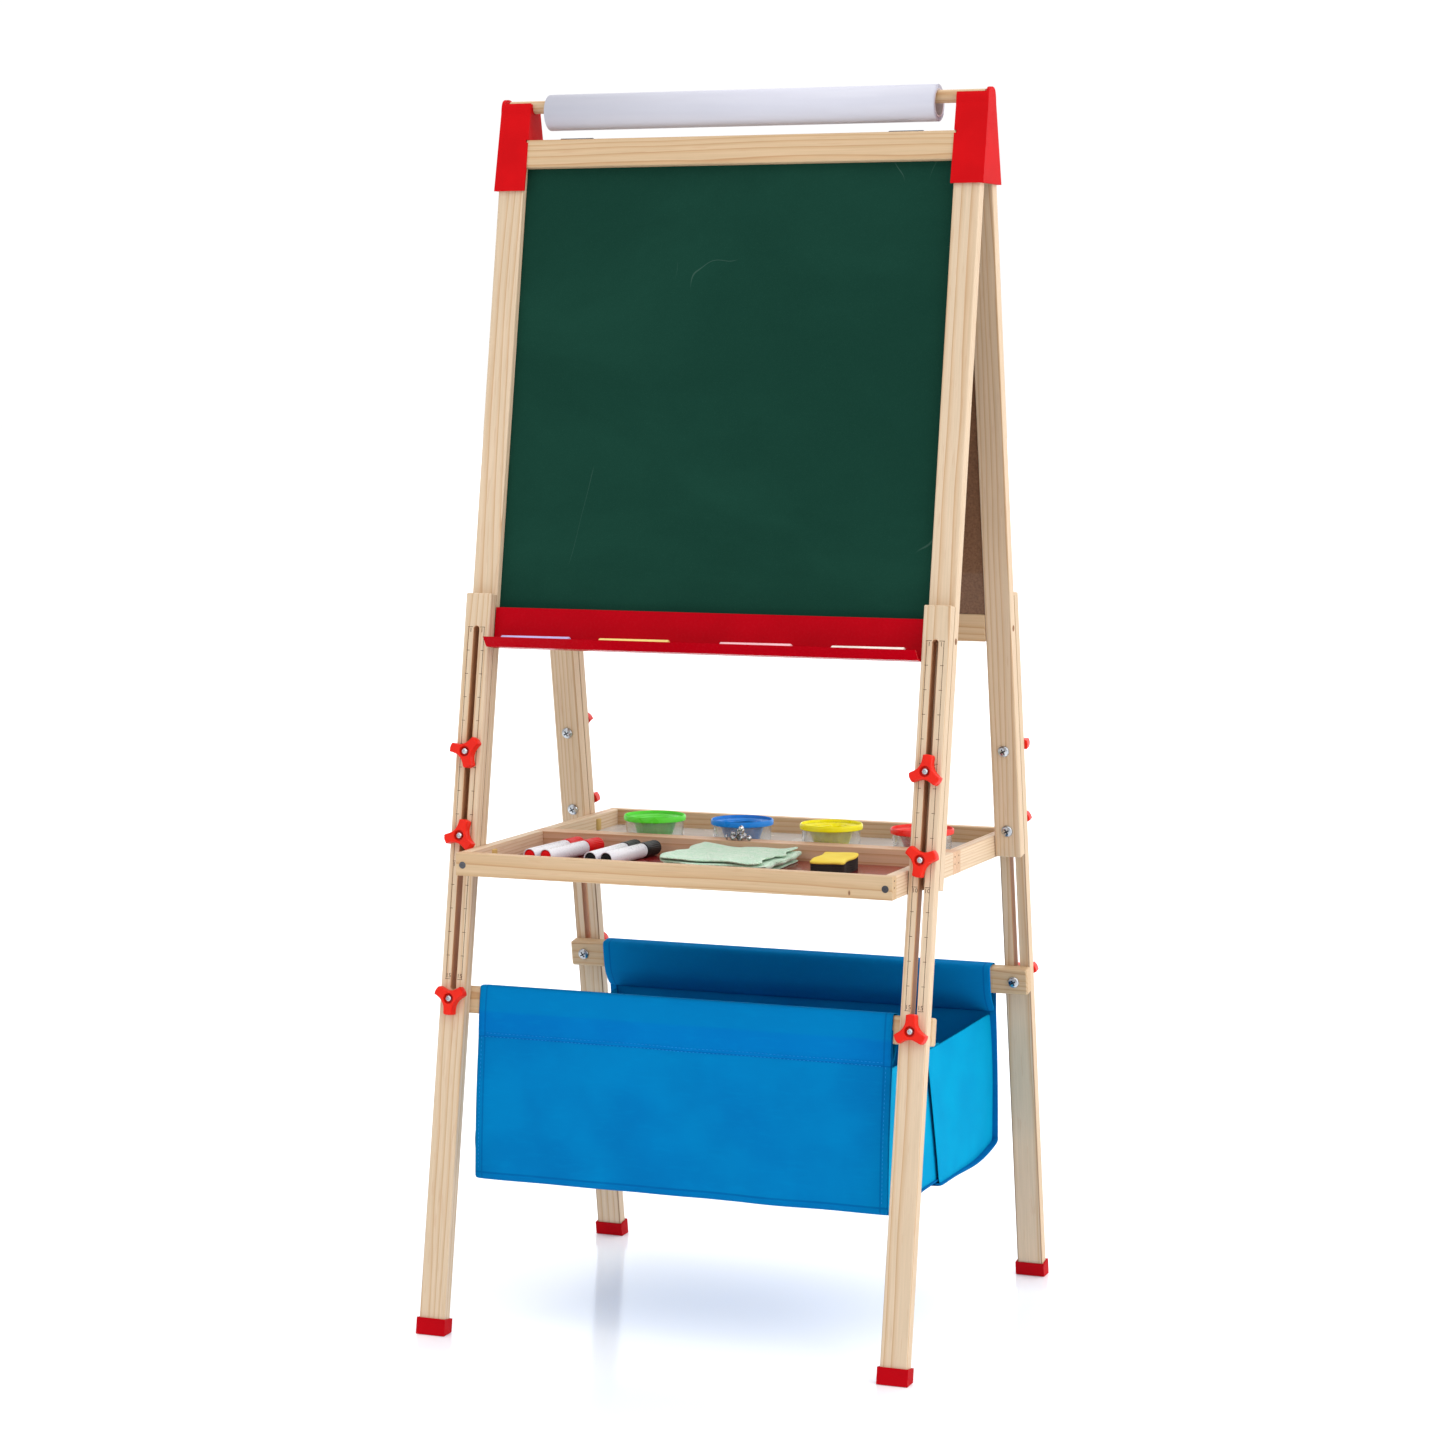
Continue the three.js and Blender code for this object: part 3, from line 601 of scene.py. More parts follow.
def makeRuler(end, side):
    sizes = rulerSizes
    bm = newMesh()
    face = -sizes["lift"]
    half = sizes["stroke"] / 2
    low = sizes["first"] - sizes["pitch"] * sizes["count"]
    for hand in (-1, 1):
        x = hand * sizes["line"]
        box(bm, (x - half, face, low), (x + half, 0.02, sizes["first"]))
        for mark in range(sizes["count"] + 1):
            height = sizes["first"] - mark * sizes["pitch"]
            reach = sizes["tick"] * (sizes["long"] if mark % 5 == 0 else 1.0)
            across = sorted((x + hand * sizes["over"], x - hand * reach))
            box(bm, (across[0], face, height - half), (across[1], 0.02, height + half))
    frameOf = leanFrame(end, legX * hands[side], 0, 0)
    body = f"{end}_legs"
    addPiece(f"{end}_ruler_{side}", bm, looks["ink"], body, None, frameOf)
    for hand in (-1, 1):
        for mark in (0, 5, 10, 15):
            font = bpy.data.curves.new("numeral", "FONT")
            font.body = str(max(mark, 1))
            font.size = sizes["numeral"] * mm
            font.align_x = "CENTER"
            font.extrude = sizes["relief"] * mm
            font.resolution_u = 2
            text = bpy.data.objects.new("numeral", font)
            bpy.context.scene.collection.objects.link(text)
            mesh = bpy.data.meshes.new_from_object(text)
            bpy.data.objects.remove(text)
            bm = newMesh()
            bm.from_mesh(mesh)
            height = sizes["first"] - mark * sizes["pitch"] - (5.6 if mark < 15 else -1.6)
            spot = Matrix.Translation(Vector((hand * (sizes["line"] - sizes["numeralIn"]), -0.03, height)) * mm)
            bmesh.ops.transform(bm, matrix=spot @ Matrix.Rotation(math.pi / 2, 4, "X"), verts=bm.verts)
            number = f"{end}_numeral_{side}_{'inner' if hand > 0 else 'outer'}_{max(mark, 1)}"
            addPiece(number, bm, looks["ink"], body, None, frameOf)


# paper roll: a cardboard core, then paper wound round it with its loose edge showing
rollSizes = {"length": 446, "offset": -2.5, "height": 1307.3, "outer": 19.4, "inner": 15.2, "core": (13.55, 15.0),
             "coreOut": 0.6, "turns": 9, "loosened": 0.93}


def makeRoll():
    sizes = rollSizes
    turn = Matrix.Translation(Vector((sizes["offset"], 0, sizes["height"])) * mm)
    turn = turn @ Matrix.Rotation(math.pi / 2, 4, "Y")
    half = sizes["length"] / 2
    bm = newMesh()
    count = 72

    def circle(radius, height):
        angles = [2 * math.pi * i / count for i in range(count)]
        return [(radius * math.cos(a), radius * math.sin(a), height) for a in angles]

    bore, coreOuter = sizes["core"]
    coreEnd = half + sizes["coreOut"]
    loft(bm, [circle(bore, -coreEnd), circle(coreOuter, -coreEnd), circle(coreOuter, coreEnd), circle(bore, coreEnd)],
         closed=True)
    addPiece("roll_core", bm, looks["card"], "paper_roll", 40, turn)

    bm = newMesh()  # the wound edges step in and out a little from turn to turn
    steps, widths = sizes["turns"] * 2, []
    for step in range(steps + 1):
        radius = sizes["inner"] + (sizes["outer"] - 0.25 - sizes["inner"]) * step / steps
        widths.append((radius, half - (0.35 if step % 2 else 0.0)))
    body = [circle(radius, -height) for radius, height in widths]
    body += [circle(radius, height) for radius, height in reversed(widths)]
    loft(bm, body, closed=True)
    winding = addPiece("roll_winding", bm, looks["paper"], "paper_roll", 40, turn)
    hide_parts("paper_roll")

    bm = newMesh()  # the outer sheet ends in a loose edge that lifts a little
    sheet = []
    for index in range(97):
        share = index / 96
        angle = math.radians(-312 + 372 * share)
        loose = max(0, share - sizes["loosened"]) / (1 - sizes["loosened"])
        radius = sizes["outer"] - 0.12 + 0.28 * share + 1.1 * loose
        sheet.append((radius * math.cos(angle), radius * math.sin(angle), -half))
    sweepSheet(bm, sheet, (0, 0, sizes["length"]), 1)
    bmesh.ops.recalc_face_normals(bm, faces=bm.faces)
    addPiece("roll_outer_sheet", bm, looks["paper"], "paper_roll", 60, turn,
             modifiers=[("SOLIDIFY", {"thickness": 0.16 * mm, "offset": 0})])


# fabric bin: two half shells that pass each other under the middle pleat
binSizes = {"half": 235.5, "seam": 228.0, "front": 178.3, "bottom": 160.0, "sag": 9.5, "pull": 15.0, "endTop": 310.0,
            "dip": 12.0, "overlap": 60.0, "tuck": 4.2, "flat": 100.0, "cloth": 1.1, "bulge": 13, "columns": 44,
            "endRows": 12, "endColumns": 16, "railLow": 338, "flangeIn": {"front": 9.3, "rear": 4.6}}


def binBottom(y):
    sizes = binSizes
    past = max(0.0, abs(y) - sizes["flat"]) / (186 - sizes["flat"])
    return sizes["bottom"] - sizes["sag"] * (1 - min(1, past) ** 2)


def binProfile(reach, tuck):
    # (y, z) down the cloth: inner hem, over the rail, down the front and along under the bag
    sizes = binSizes
    points = [(-176.6, 312), (-170, 319), (-162.6, 329), (-159.4, 337), (-157.2, 350), (-155.2, 362), (-155.9, 365.4),
              (-158.5, 366.6), (-165, 367.7), (-170.8, 368.6), (-173.2, 367.6), (-174.1, 364.5), (-176.2, 352),
              (-178.2, 340), (-178.9, 330), (-179.6, 320), (-179.6, 313)]
    for step in range(1, 13):
        share = step / 12
        y = -179.6 - 10.2 * share - 2.2 * math.sin(math.pi * share)
        points.append((y, 313 - 145 * share))
    points += [(-190.0, 163.5), (-187.5, 160.6), (-183, 159.6)]
    y = -172.0
    while y < reach - 1:
        points.append((y, binBottom(y) + tuck(y)))
        y += 11.6
    points.append((reach, binBottom(reach) + tuck(reach)))
    return points


def nearMiddle(y):
    share = min(1, max(0, (y + 140) / 98))
    return share * share * (3 - 2 * share)


def tuckFor(end):
    # the front half passes inside the rear half
    return lambda y: binSizes["tuck"] * nearMiddle(y) if end == "front" else 0.0


def flangeFor(end):
    # the seam's outer edge, drawn in towards the middle so that the halves pass each other
    return lambda y: binSizes["half"] - binSizes["flangeIn"][end] * nearMiddle(y)


def ripple(x, y, z, amount):
    value = math.sin(x * 31 + 1.3) * math.sin(z * 24 + x * 9) + 0.6 * math.sin(x * 57 + z * 37 + 2.0)
    return amount * value


def makeBinHalf(end):
    sizes = binSizes
    tuck = tuckFor(end)
    reach = sizes["overlap"] if end == "front" else 0.0
    profile = binProfile(reach, tuck)
    bm = newMesh()
    wrapBin(bm, end, profile)
    for hand in (-1, 1):
        addBinEnd(bm, end, hand, reach, tuck)
    turn = Matrix.Rotation(math.pi, 4, "Z") if end == "rear" else Matrix()
    cloths = [looks["fabric"], looks["fabricEnd"]]
    modifiers = [("SOLIDIFY", {"thickness": sizes["cloth"] * mm, "offset": 0}),
                 ("SUBSURF", {"levels": 1, "render_levels": 1})]
    piece = addPiece(f"fabric_bin_{end}", bm, cloths, f"{end}_legs", 60, turn, modifiers)
    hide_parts("fabric_bin")
    sewn = makeBinSeams(end, profile, turn)


def wrapBin(bm, end, profile):
    # one strip over the rail, down the front and under the bag
    sizes = binSizes
    uv = bm.loops.layers.uv["Cloth"]
    lengths = [0.0]
    for one, other in zip(profile, profile[1:]):
        lengths.append(lengths[-1] + math.dist(one, other))
    across = 2 * sizes["half"] / sizes["columns"]
    sweepSheet(bm, [(-sizes["half"], y, z) for y, z in profile], (across, 0, 0), sizes["columns"])
    rail = sizes["railLow"] * mm
    top = lengths[10]
    for face in bm.faces:
        for loop in face.loops:
            co = loop.vert.co / mm
            spot = min(range(len(profile)), key=lambda i: math.dist(profile[i], (co.y, co.z)))
            loop[uv].uv = (co.x * mm, (lengths[spot] - top) * mm)
    for vert in bm.verts:
        x, y, z = vert.co
        if z < rail:
            edgeShare = max(0.0, 1 - (abs(x) / (sizes["half"] * mm)) ** 6)
            drop = min(1.0, (rail - z) / 0.05)
            if y < -0.17:
                vert.co.y -= ripple(x, y, z, 0.0016) * edgeShare * drop
            else:
                loose = min(1.0, (y + 0.186) / 0.05)
                calm = 1 - nearMiddle(y / mm)
                vert.co.z -= (0.0025 * edgeShare + ripple(y, x, x, 0.0008) * calm) * loose
                vert.co.x *= flangeFor(end)(y / mm) / sizes["half"]


def addBinEnd(bm, end, hand, reach, tuck):
    # half of an end panel, with its top edge pulled in towards the pleat
    sizes = binSizes
    uv = bm.loops.layers.uv["Cloth"]
    grid = bmesh.ops.create_grid(bm, x_segments=sizes["endColumns"], y_segments=sizes["endRows"], size=0.5)["verts"]
    # the end panel faces take the brighter copy of the cloth, which is painted light from the side
    for face in {face for vert in grid for face in vert.link_faces}:
        face.material_index = 1
    for vert in grid:
        a, b = vert.co.x + 0.5, vert.co.y + 0.5
        frontY = -sizes["front"] - 2.4 - 9.5 * (1 - b)
        y = frontY + (reach - frontY) * a
        low = binBottom(y) + tuck(y) + 0.6
        pulled = max(0.0, 1 - max(0.0, abs(y) - 45) / 133) if y < 0 else 1.0
        high = sizes["endTop"] - sizes["dip"] * pulled
        z = low + (high - low) * b
        inward = sizes["pull"] * pulled * (b ** 1.1) + tuck(y) - 2.2 * math.sin(math.pi * b) * (1 - pulled)
        if hand < 0 and end == "front":  # the lower front corner bulges on this side
            swell = math.exp(-((a - 0.07) / 0.09) ** 2) * math.sin(math.pi * min(1, b / 0.55))
            inward -= sizes["bulge"] * swell
        vert.co = Vector((hand * (sizes["seam"] - inward), y, z)) * mm
        vert.co.x += ripple(y * mm, 0, z * mm, 0.0006) * hand * (1 - nearMiddle(y))
        for loop in vert.link_loops:
            loop[uv].uv = (y * mm, 0.3 - z * mm)


def seamBand(bm, path, hand, flange, width, lift, thick):
    # a doubled, turned seam that follows the cloth, as one closed strip
    rings = []
    for index, (y, z) in enumerate(path):
        ahead = Vector(path[min(index + 1, len(path) - 1)]) - Vector(path[max(index - 1, 0)])
        out = Vector((ahead.y, -ahead.x)).normalized() * -1
        base = Vector((y, z)) + out * lift
        top = base + out * thick
        outer = flange(y) if z < 200 else flange(-180)
        x = sorted((hand * outer, hand * (outer - width)))
        rings.append([(x[0], *base), (x[1], *base), (x[1], *top), (x[0], *top)])
    loft(bm, rings)


def makeBinSeams(end, profile, turn):
    sizes = binSizes
    bm = newMesh()
    path = profile[12:]
    for hand in (-1, 1):
        seamBand(bm, path, hand, flangeFor(end), 8.0, 0.7, 1.5)
    seams = addPiece(f"fabric_bin_{end}_seams", bm, looks["binding"], f"{end}_legs", 50, turn,
                     modifiers=[("BEVEL", {"width": 0.5 * mm, "segments": 2, "limit_method": "ANGLE"})])
    bm = newMesh()
    stitches = []
    for height, gap in ((314.6, 0.0), (318.4, 2.0)):
        x = -sizes["half"] + 10 + gap
        while x < sizes["half"] - 10:
            stitches.append((Vector((x, -181.0 - ripple(x * mm, 0, height * mm, 1.6), height)), "x"))
            x += 4.4
    for hand in (-1, 1):
        start = Vector(profile[16])
        stop = Vector((-190.6, 170))
        count = int((stop - start).length / 4.4)
        for step in range(count):
            spot = start.lerp(stop, step / count)
            bow = 2.2 * math.sin(math.pi * step / count)
            stitches.append((Vector((hand * (sizes["half"] - 5.6), spot.x - bow - 2.6, spot.y)), "z"))
    for spot, along in stitches:
        size = [1.5 if axis == along else 0.35 for axis in "xyz"]
        bmesh.ops.create_icosphere(bm, subdivisions=1, radius=1, matrix=Matrix.Translation(spot * mm)
                                   @ Matrix.Diagonal((*(Vector(size) * mm), 1)))
    stitching = addPiece(f"fabric_bin_{end}_stitches", bm, looks["thread"], f"{end}_legs", 60, turn)
    return [seams, stitching]


# what lies in the tray: cups behind; markers, cloth and felt eraser in front; pins on the divider
trayFloor = 498.45
dividerTop = 516.45
cupSizes = {"y": 50, "spacing": 105, "first": -125, "rim": 34.4, "lidDrop": 6.4, "top": 34.5, "base": 31.6,
            "wall": 1.2}
cupColors = {"green": (98, 240, 62), "blue": (0, 138, 240), "yellow": (255, 244, 0), "red": (246, 44, 34)}


def makeCup(index, color):
    sizes = cupSizes
    x = sizes["first"] + index * sizes["spacing"]
    rim, top, base, wall = sizes["rim"], sizes["top"], sizes["base"], sizes["wall"]
    bm = newMesh()
    lathe(bm, [(0, 1.6), (base - 4, 1.6), (base - 1.8, 1.2), (base - 1.4, 0.2), (base - 0.8, 0), (base, 0.9),
               (rim - 2.0, top - 8), (rim - 2.0, top - 3), (rim - 2.0 - wall, top - 3), (rim - 2.0 - wall, top - 8),
               (base - wall, 2.8), (base - wall - 1.4, 2.6), (0, 2.6)], 64, "z", (x, sizes["y"], trayFloor))
    addPiece(f"paint_cup_{color}", bm, looks["clear"], "upper_frame", 35)

    bm = newMesh()
    count = 96
    angles = [2 * math.pi * i / count for i in range(count)]

    def loop(radius, height, scallop=0.0, dip=0.0):
        out = []
        for a in angles:
            wave = max(0.0, math.cos(4 * a)) ** 0.5
            r = radius + scallop * wave
            out.append((x + r * math.cos(a), sizes["y"] + r * math.sin(a), trayFloor + height - dip * wave))
        return out

    low = top - sizes["lidDrop"]
    skirt = [loop(rim - 1.0, low), loop(rim + 0.1, low + 0.6), loop(rim + 0.4, top - 2.2), loop(rim - 0.2, top - 0.7),
             loop(rim - 0.9, top), loop(rim - 1.5, top - 0.4), loop(rim - 2.0, top - 3.0)]
    funnel = [loop(24.5, top - 4.0, 2.5), loop(23.0, top - 5.2, 2.5, 0.5), loop(18.5, top - 25)]
    inside = [loop(17.4, top - 25), loop(21.6, top - 6.0, 2.5, 0.6), loop(23.6, top - 5.0, 2.6),
              loop(rim - 2.6, top - 4.2), loop(rim - 1.6, top - 3.8), loop(rim - 1.5, low)]
    loft(bm, skirt + funnel + inside, closed=True)
    addPiece(f"cup_lid_{color}", bm, looks[color + "Lid"], "upper_frame", 40)


def onTray(x, y, up, turn):
    # a place above the front tray floor, turned by degrees
    return Matrix.Translation(Vector((x, y, trayFloor + up)) * mm) @ Matrix.Rotation(math.radians(turn), 4, "Z")


markerSizes = {"radius": 7.9, "cap": 8.5, "length": 112, "capLength": 32, "plug": 6.7, "ribs": 24}
markers = [("red", -192, -140, 5.0), ("red", -174, -138, 7.5), ("black", -121, -139, 3.5),
           ("black", -104, -136, 6.0)]


def makeMarker(index, color, x, y, turn):
    sizes = markerSizes
    frameOf = onTray(x, y, sizes["cap"] + 0.05, -turn)
    end = sizes["length"]
    split = end - sizes["capLength"]
    r, cap = sizes["radius"], sizes["cap"]
    bm = newMesh()
    lathe(bm, [(0, 3), (r - 1.15, 3), (r - 1.15, 0.4), (r - 0.6, 0), (r, 0.6), (r, split - 0.9),
               (r - 0.4, split - 0.3), (0, split - 0.3)], 40, "y")
    addPiece(f"marker_{index}_barrel", bm, looks["barrel"], "upper_frame", 40, frameOf)
    bm = newMesh()
    plug = sizes["plug"]
    lathe(bm, [(0, -0.9), (2.4, -0.7), (4.6, -0.1), (6.0, 0.7), (plug, 1.6), (plug, 2.9), (0, 2.9)], 40, "y")
    addPiece(f"marker_{index}_plug", bm, looks[color + "Cap"], "upper_frame", 40, frameOf)
    bm = newMesh()
    angles = [2 * math.pi * i / 96 for i in range(96)]

    def ribbed(radius, along, depth):
        radials = [radius - depth * (0.5 + 0.5 * math.cos(sizes["ribs"] * a)) for a in angles]
        return [(radial * math.cos(a), along, radial * math.sin(a)) for radial, a in zip(radials, angles)]

    loft(bm, [ribbed(cap - 0.6, split, 0), ribbed(cap, split + 0.5, 0), ribbed(cap, split + 8, 0),
              ribbed(cap - 0.1, split + 9, 0.5), ribbed(cap - 0.15, end - 4, 0.6), ribbed(cap - 0.7, end - 1.6, 0.3),
              ribbed(cap - 2.4, end - 0.2, 0), ribbed(cap - 4.4, end, 0)])
    addPiece(f"marker_{index}_cap", bm, looks[color + "Cap"], "upper_frame", 32, frameOf)


towelSizes = {"x": (-47, 80), "y": (-139, -20), "layer": 3.5, "thick": 2.6, "rows": 22}


def towelPath():
    # (x, z) along the cloth: four layers, to and fro, with a round fold between each two
    layer = towelSizes["layer"]
    left, right = towelSizes["x"]
    path = []
    for index in range(4):
        z = 1.1 + index * layer
        stop, begin = left + 3 + index, right - 4 - 2.5 * (index % 2)
        run = [(begin + (stop - begin) * i / 14, z) for i in range(15)]
        if index % 2:
            run.reverse()
        if index:
            start, hand = (left + 3 + index, -1) if index % 2 else (right - 5, 1)
            path += [(start + hand * (layer / 2 + 1.2) * math.sin(math.pi * t),
                      z - layer / 2 - math.cos(math.pi * t) * layer / 2) for t in (0.25, 0.5, 0.75)]
        path += run
    return path


def makeTowel():
    # a terry cloth folded twice, with a round fold on the left and loose edges on the right
    sizes = towelSizes
    left, right = sizes["x"]
    low, high = sizes["y"]
    bm = newMesh()
    uv = bm.loops.layers.uv["Cloth"]
    sweepSheet(bm, [(x, low, z) for x, z in towelPath()], (0, (high - low) / sizes["rows"], 0), sizes["rows"])
    for vert in bm.verts:
        x, y, z = vert.co / mm
        share = (y - low) / (high - low)
        up = z / 10
        lift = 1.8 * math.sin(x * 0.045 + 1.1) * math.sin(y * 0.07) + 1.1 * math.sin(x * 0.11 + y * 0.06)
        edgeLift = 2.4 * max(0, (x - right + 26) / 26) ** 2 + 2.8 * max(0, (left + 30 - x) / 30) ** 2
        slant = 4.2 * (0.5 - share) + 7 * share * (x < 0)
        wander = Vector((2.6 * math.sin(y * 0.16 + z * 0.5) * up + slant,
                         2.4 * math.sin(x * 0.07 + z * 0.6) + 1.2 * math.sin(x * 0.19),
                         max(0, up) * (lift * 0.55 + edgeLift + 1.4)))
        vert.co += wander * mm
    for face in bm.faces:
        for loop in face.loops:
            loop[uv].uv = (loop.vert.co.x, loop.vert.co.y)
    bmesh.ops.recalc_face_normals(bm, faces=bm.faces)
    piece = addPiece("wiping_cloth", bm, looks["terry"], "upper_frame", 180,
                     Matrix.Translation((0, 0, trayFloor * mm)),
                     modifiers=[("SOLIDIFY", {"thickness": sizes["thick"] * mm, "offset": 0}),
                                ("SUBSURF", {"levels": 2, "render_levels": 2})])


eraserSizes = {"x": 135.5, "y": -79, "half": (18.5, 37), "height": 13.2, "felt": 3.4, "layers": 5, "turn": 5}


def makeEraser():
    sizes = eraserSizes
    halfX, halfY = sizes["half"]

    def outline(height, shrink):
        points = roundedBox(halfX - shrink, halfY - shrink, 4)
        dense = []
        for one, other in zip(points, points[1:] + points[:1]):
            count = max(1, round(math.dist(one, other) / 4))
            dense += [(one[0] + (other[0] - one[0]) * i / count, one[1] + (other[1] - one[1]) * i / count)
                      for i in range(count)]
        return [(x + 1.3 * math.sin(y / halfY * math.pi * 1.5), y + 1.7 * math.sin(x / halfX * math.pi), height)
                for x, y in dense]

    frameOf = onTray(sizes["x"], sizes["y"], 0, sizes["turn"])
    bm = newMesh()
    step = sizes["height"] / sizes["layers"]
    rings = []
    for layer in range(sizes["layers"]):
        z = layer * step
        rings += [outline(z + 0.05, 0.55), outline(z + 0.35, 0.05), outline(z + step - 0.35, 0.05),
                  outline(z + step - 0.05, 0.55)]
    loft(bm, rings)
    addPiece("eraser_layers", bm, looks["foam"], "upper_frame", 40, frameOf)
    bm = newMesh()
    low, high = sizes["height"], sizes["height"] + sizes["felt"]
    loft(bm, [outline(low, 0.4), outline(low + 0.5, -0.4), outline(high - 1.2, -0.5), outline(high - 0.3, 0.4),
              outline(high, 1.8), outline(high + 0.1, 8)])
    addPiece("eraser_felt", bm, looks["felt"], "upper_frame", 60, frameOf)


def makePins():
    # a little heap of steel drawing pins on the divider
    luck = random.Random(5)
    bm = newMesh()
    spots = [(-14, -4, 0), (-10, 2, 0), (-7, -5, 0), (-4, 4, 0), (-1, -2, 0), (3, -5, 0), (6, 2, 0), (11, -3, 0),
             (-8, -1, 3.4), (-3, 0, 3.8), (1, 2, 3.4), (5, -2, 3.2), (-1, -2, 6.8), (2, 0, 7.1), (1, -1, 10.1)]
    head = [(0, 2.1), (1.6, 1.9), (2.6, 1.3), (3.2, 0.4), (3.1, 0.1), (2.9, 0.2), (1.2, 1.0)]
    needle = [(0.45, 1.1), (0.4, -4.4), (0.1, -5.6), (0, -5.7)]
    for x, y, z in spots:
        fresh = lathe(bm, head + needle, 12)
        tilt = Euler((luck.uniform(1.1, 2.0), luck.uniform(-0.5, 0.5), luck.uniform(0, 6.28))).to_matrix().to_4x4()
        spot = Matrix.Translation(Vector((x, y - 6, dividerTop + 3.4 + z)) * mm)
        bmesh.ops.transform(bm, matrix=spot @ tilt, verts=fresh)
    addPiece("drawing_pins", bm, looks["steel"], "upper_frame", 40)


chalkLength = 80
chalks = [("lilac", -192, (196, 188, 236)), ("yellow", -77, (250, 226, 140)), ("pink", 62, (246, 198, 204)),
          ("cream", 187, (252, 246, 236))]


def makeChalks():
    half = chalkLength / 2
    for color, x, tint in chalks:
        bm = newMesh()
        lathe(bm, [(0, -half), (4.6, -half), (5.3, 0.8 - half), (5.75, half - 1), (5.1, half), (0, half)], 32, "x")
        deep = color255(*[c * 0.93 for c in tint])
        material = plastic(color + "Chalk", color255(*tint), deep, 0.95, 1400, 0.3, 0.1)
        addPiece(f"chalk_{color}", bm, material, "upper_frame", 40, leanFrame("front", x, 3.6, 748.3))


# small hardware
def makeTrayHardware(end, side, flip):
    hand = hands[side]
    bm = newMesh()  # socket screw let into the tray's outer rail
    lathe(bm, [(0, 0.55), (1.5, 0.55), (1.7, 0.15), (3.4, 0), (3.8, 0.4), (3.8, 3.4), (0, 3.4)], 28, "y",
          (hand * 238, -210.6, 503.5))
    addPiece(f"{end}_box_screw_{side}", bm, looks["darkScrew"], "upper_frame", 40, flip)
    for spot, (y, z) in enumerate(((-204.5, 504.5), (-204.5, 511.5), (-6.5, 503.0), (-6.5, 511.0))):
        bm = newMesh()
        lathe(bm, [(0, 0.25), (0.9, 0.1), (1.1, -0.3), (0, -0.3)], 12, "x", (246.05, y, z))
        if hand < 0:
            bmesh.ops.rotate(bm, cent=(0, y * mm, 0), matrix=Matrix.Rotation(math.pi, 3, "Z"), verts=bm.verts)
        addPiece(f"{end}_box_nail_{side}_{spot}", bm, looks["rust"], "upper_frame", 40, flip)
    bm = newMesh()  # half-round locating peg inside the side rail
    lathe(bm, [(0, 0), (4.4, 0), (5.0, 0.7), (5.0, 12), (4.4, 12.6), (0, 12.6)], 24, "z", (hand * 235.2, -140, 499.5))
    addPiece(f"{end}_box_peg_{side}", bm, looks["peg"], "upper_frame", 40, flip)


def makeStilePlug(end, side):
    # sunk screw hole in the stile's outer side, as a flat disc whose dark brown is partly the hole's own brown and
    # partly painted shade of the hole
    hand = hands[side]
    bm = newMesh()
    lathe(bm, [(0, 0.1), (3.0, 0.2), (3.4, 0.05), (3.5, -0.4), (0, -0.4)], 28, "x")
    spin = Matrix.Rotation(math.pi, 4, "Z") if hand * ends[end] < 0 else Matrix()
    frameOf = leanFrame(end, hand * (legX + 14.75), 22.3, 763.0) @ spin
    addPiece(f"{end}_stile_plug_{side}", bm, looks["plug"], "upper_frame", 40, frameOf)


def makeClipPlate(side, x):
    # the clip's fixed plate, with its two rivets
    bm = newMesh()
    box(bm, (-19.5, 13.2, 1262.5), (19.5, 14.4, 1297.2), 0.5)
    for rivet in (-11, 11):
        lathe(bm, [(0, 1.0), (1.6, 0.8), (2.3, 0.1), (2.3, -0.3), (0, -0.3)], 20, "y", (rivet, 13.2, 1288))
    addPiece(f"clip_plate_{side}", bm, looks["clip"], "upper_frame", 40, leanFrame("rear", x, 0, 0))


# floor, light and camera
studio = {
    "frontSky": 0.34,
    "backSky": 1.5,
    "backdrop": 1.02,
    "floor": (0.91, 0.93, 0.95, 1),
    "floorGlow": 0.09,
    "floorDrop": 0.6,
    "lens": 90.8,
    "eye": (1.4428, -3.6790, 1.0446),
    "down": 0.1007,
    "around": 0.3793,
    "suns": {
        "right": ((1.0, -0.35, 0.55), 1.25, 50),
        "top": ((0.1, -0.35, 1.0), 1.05, 60),
        "left": ((-0.55, -1.0, 0.5), 0.55, 60),
    },
}


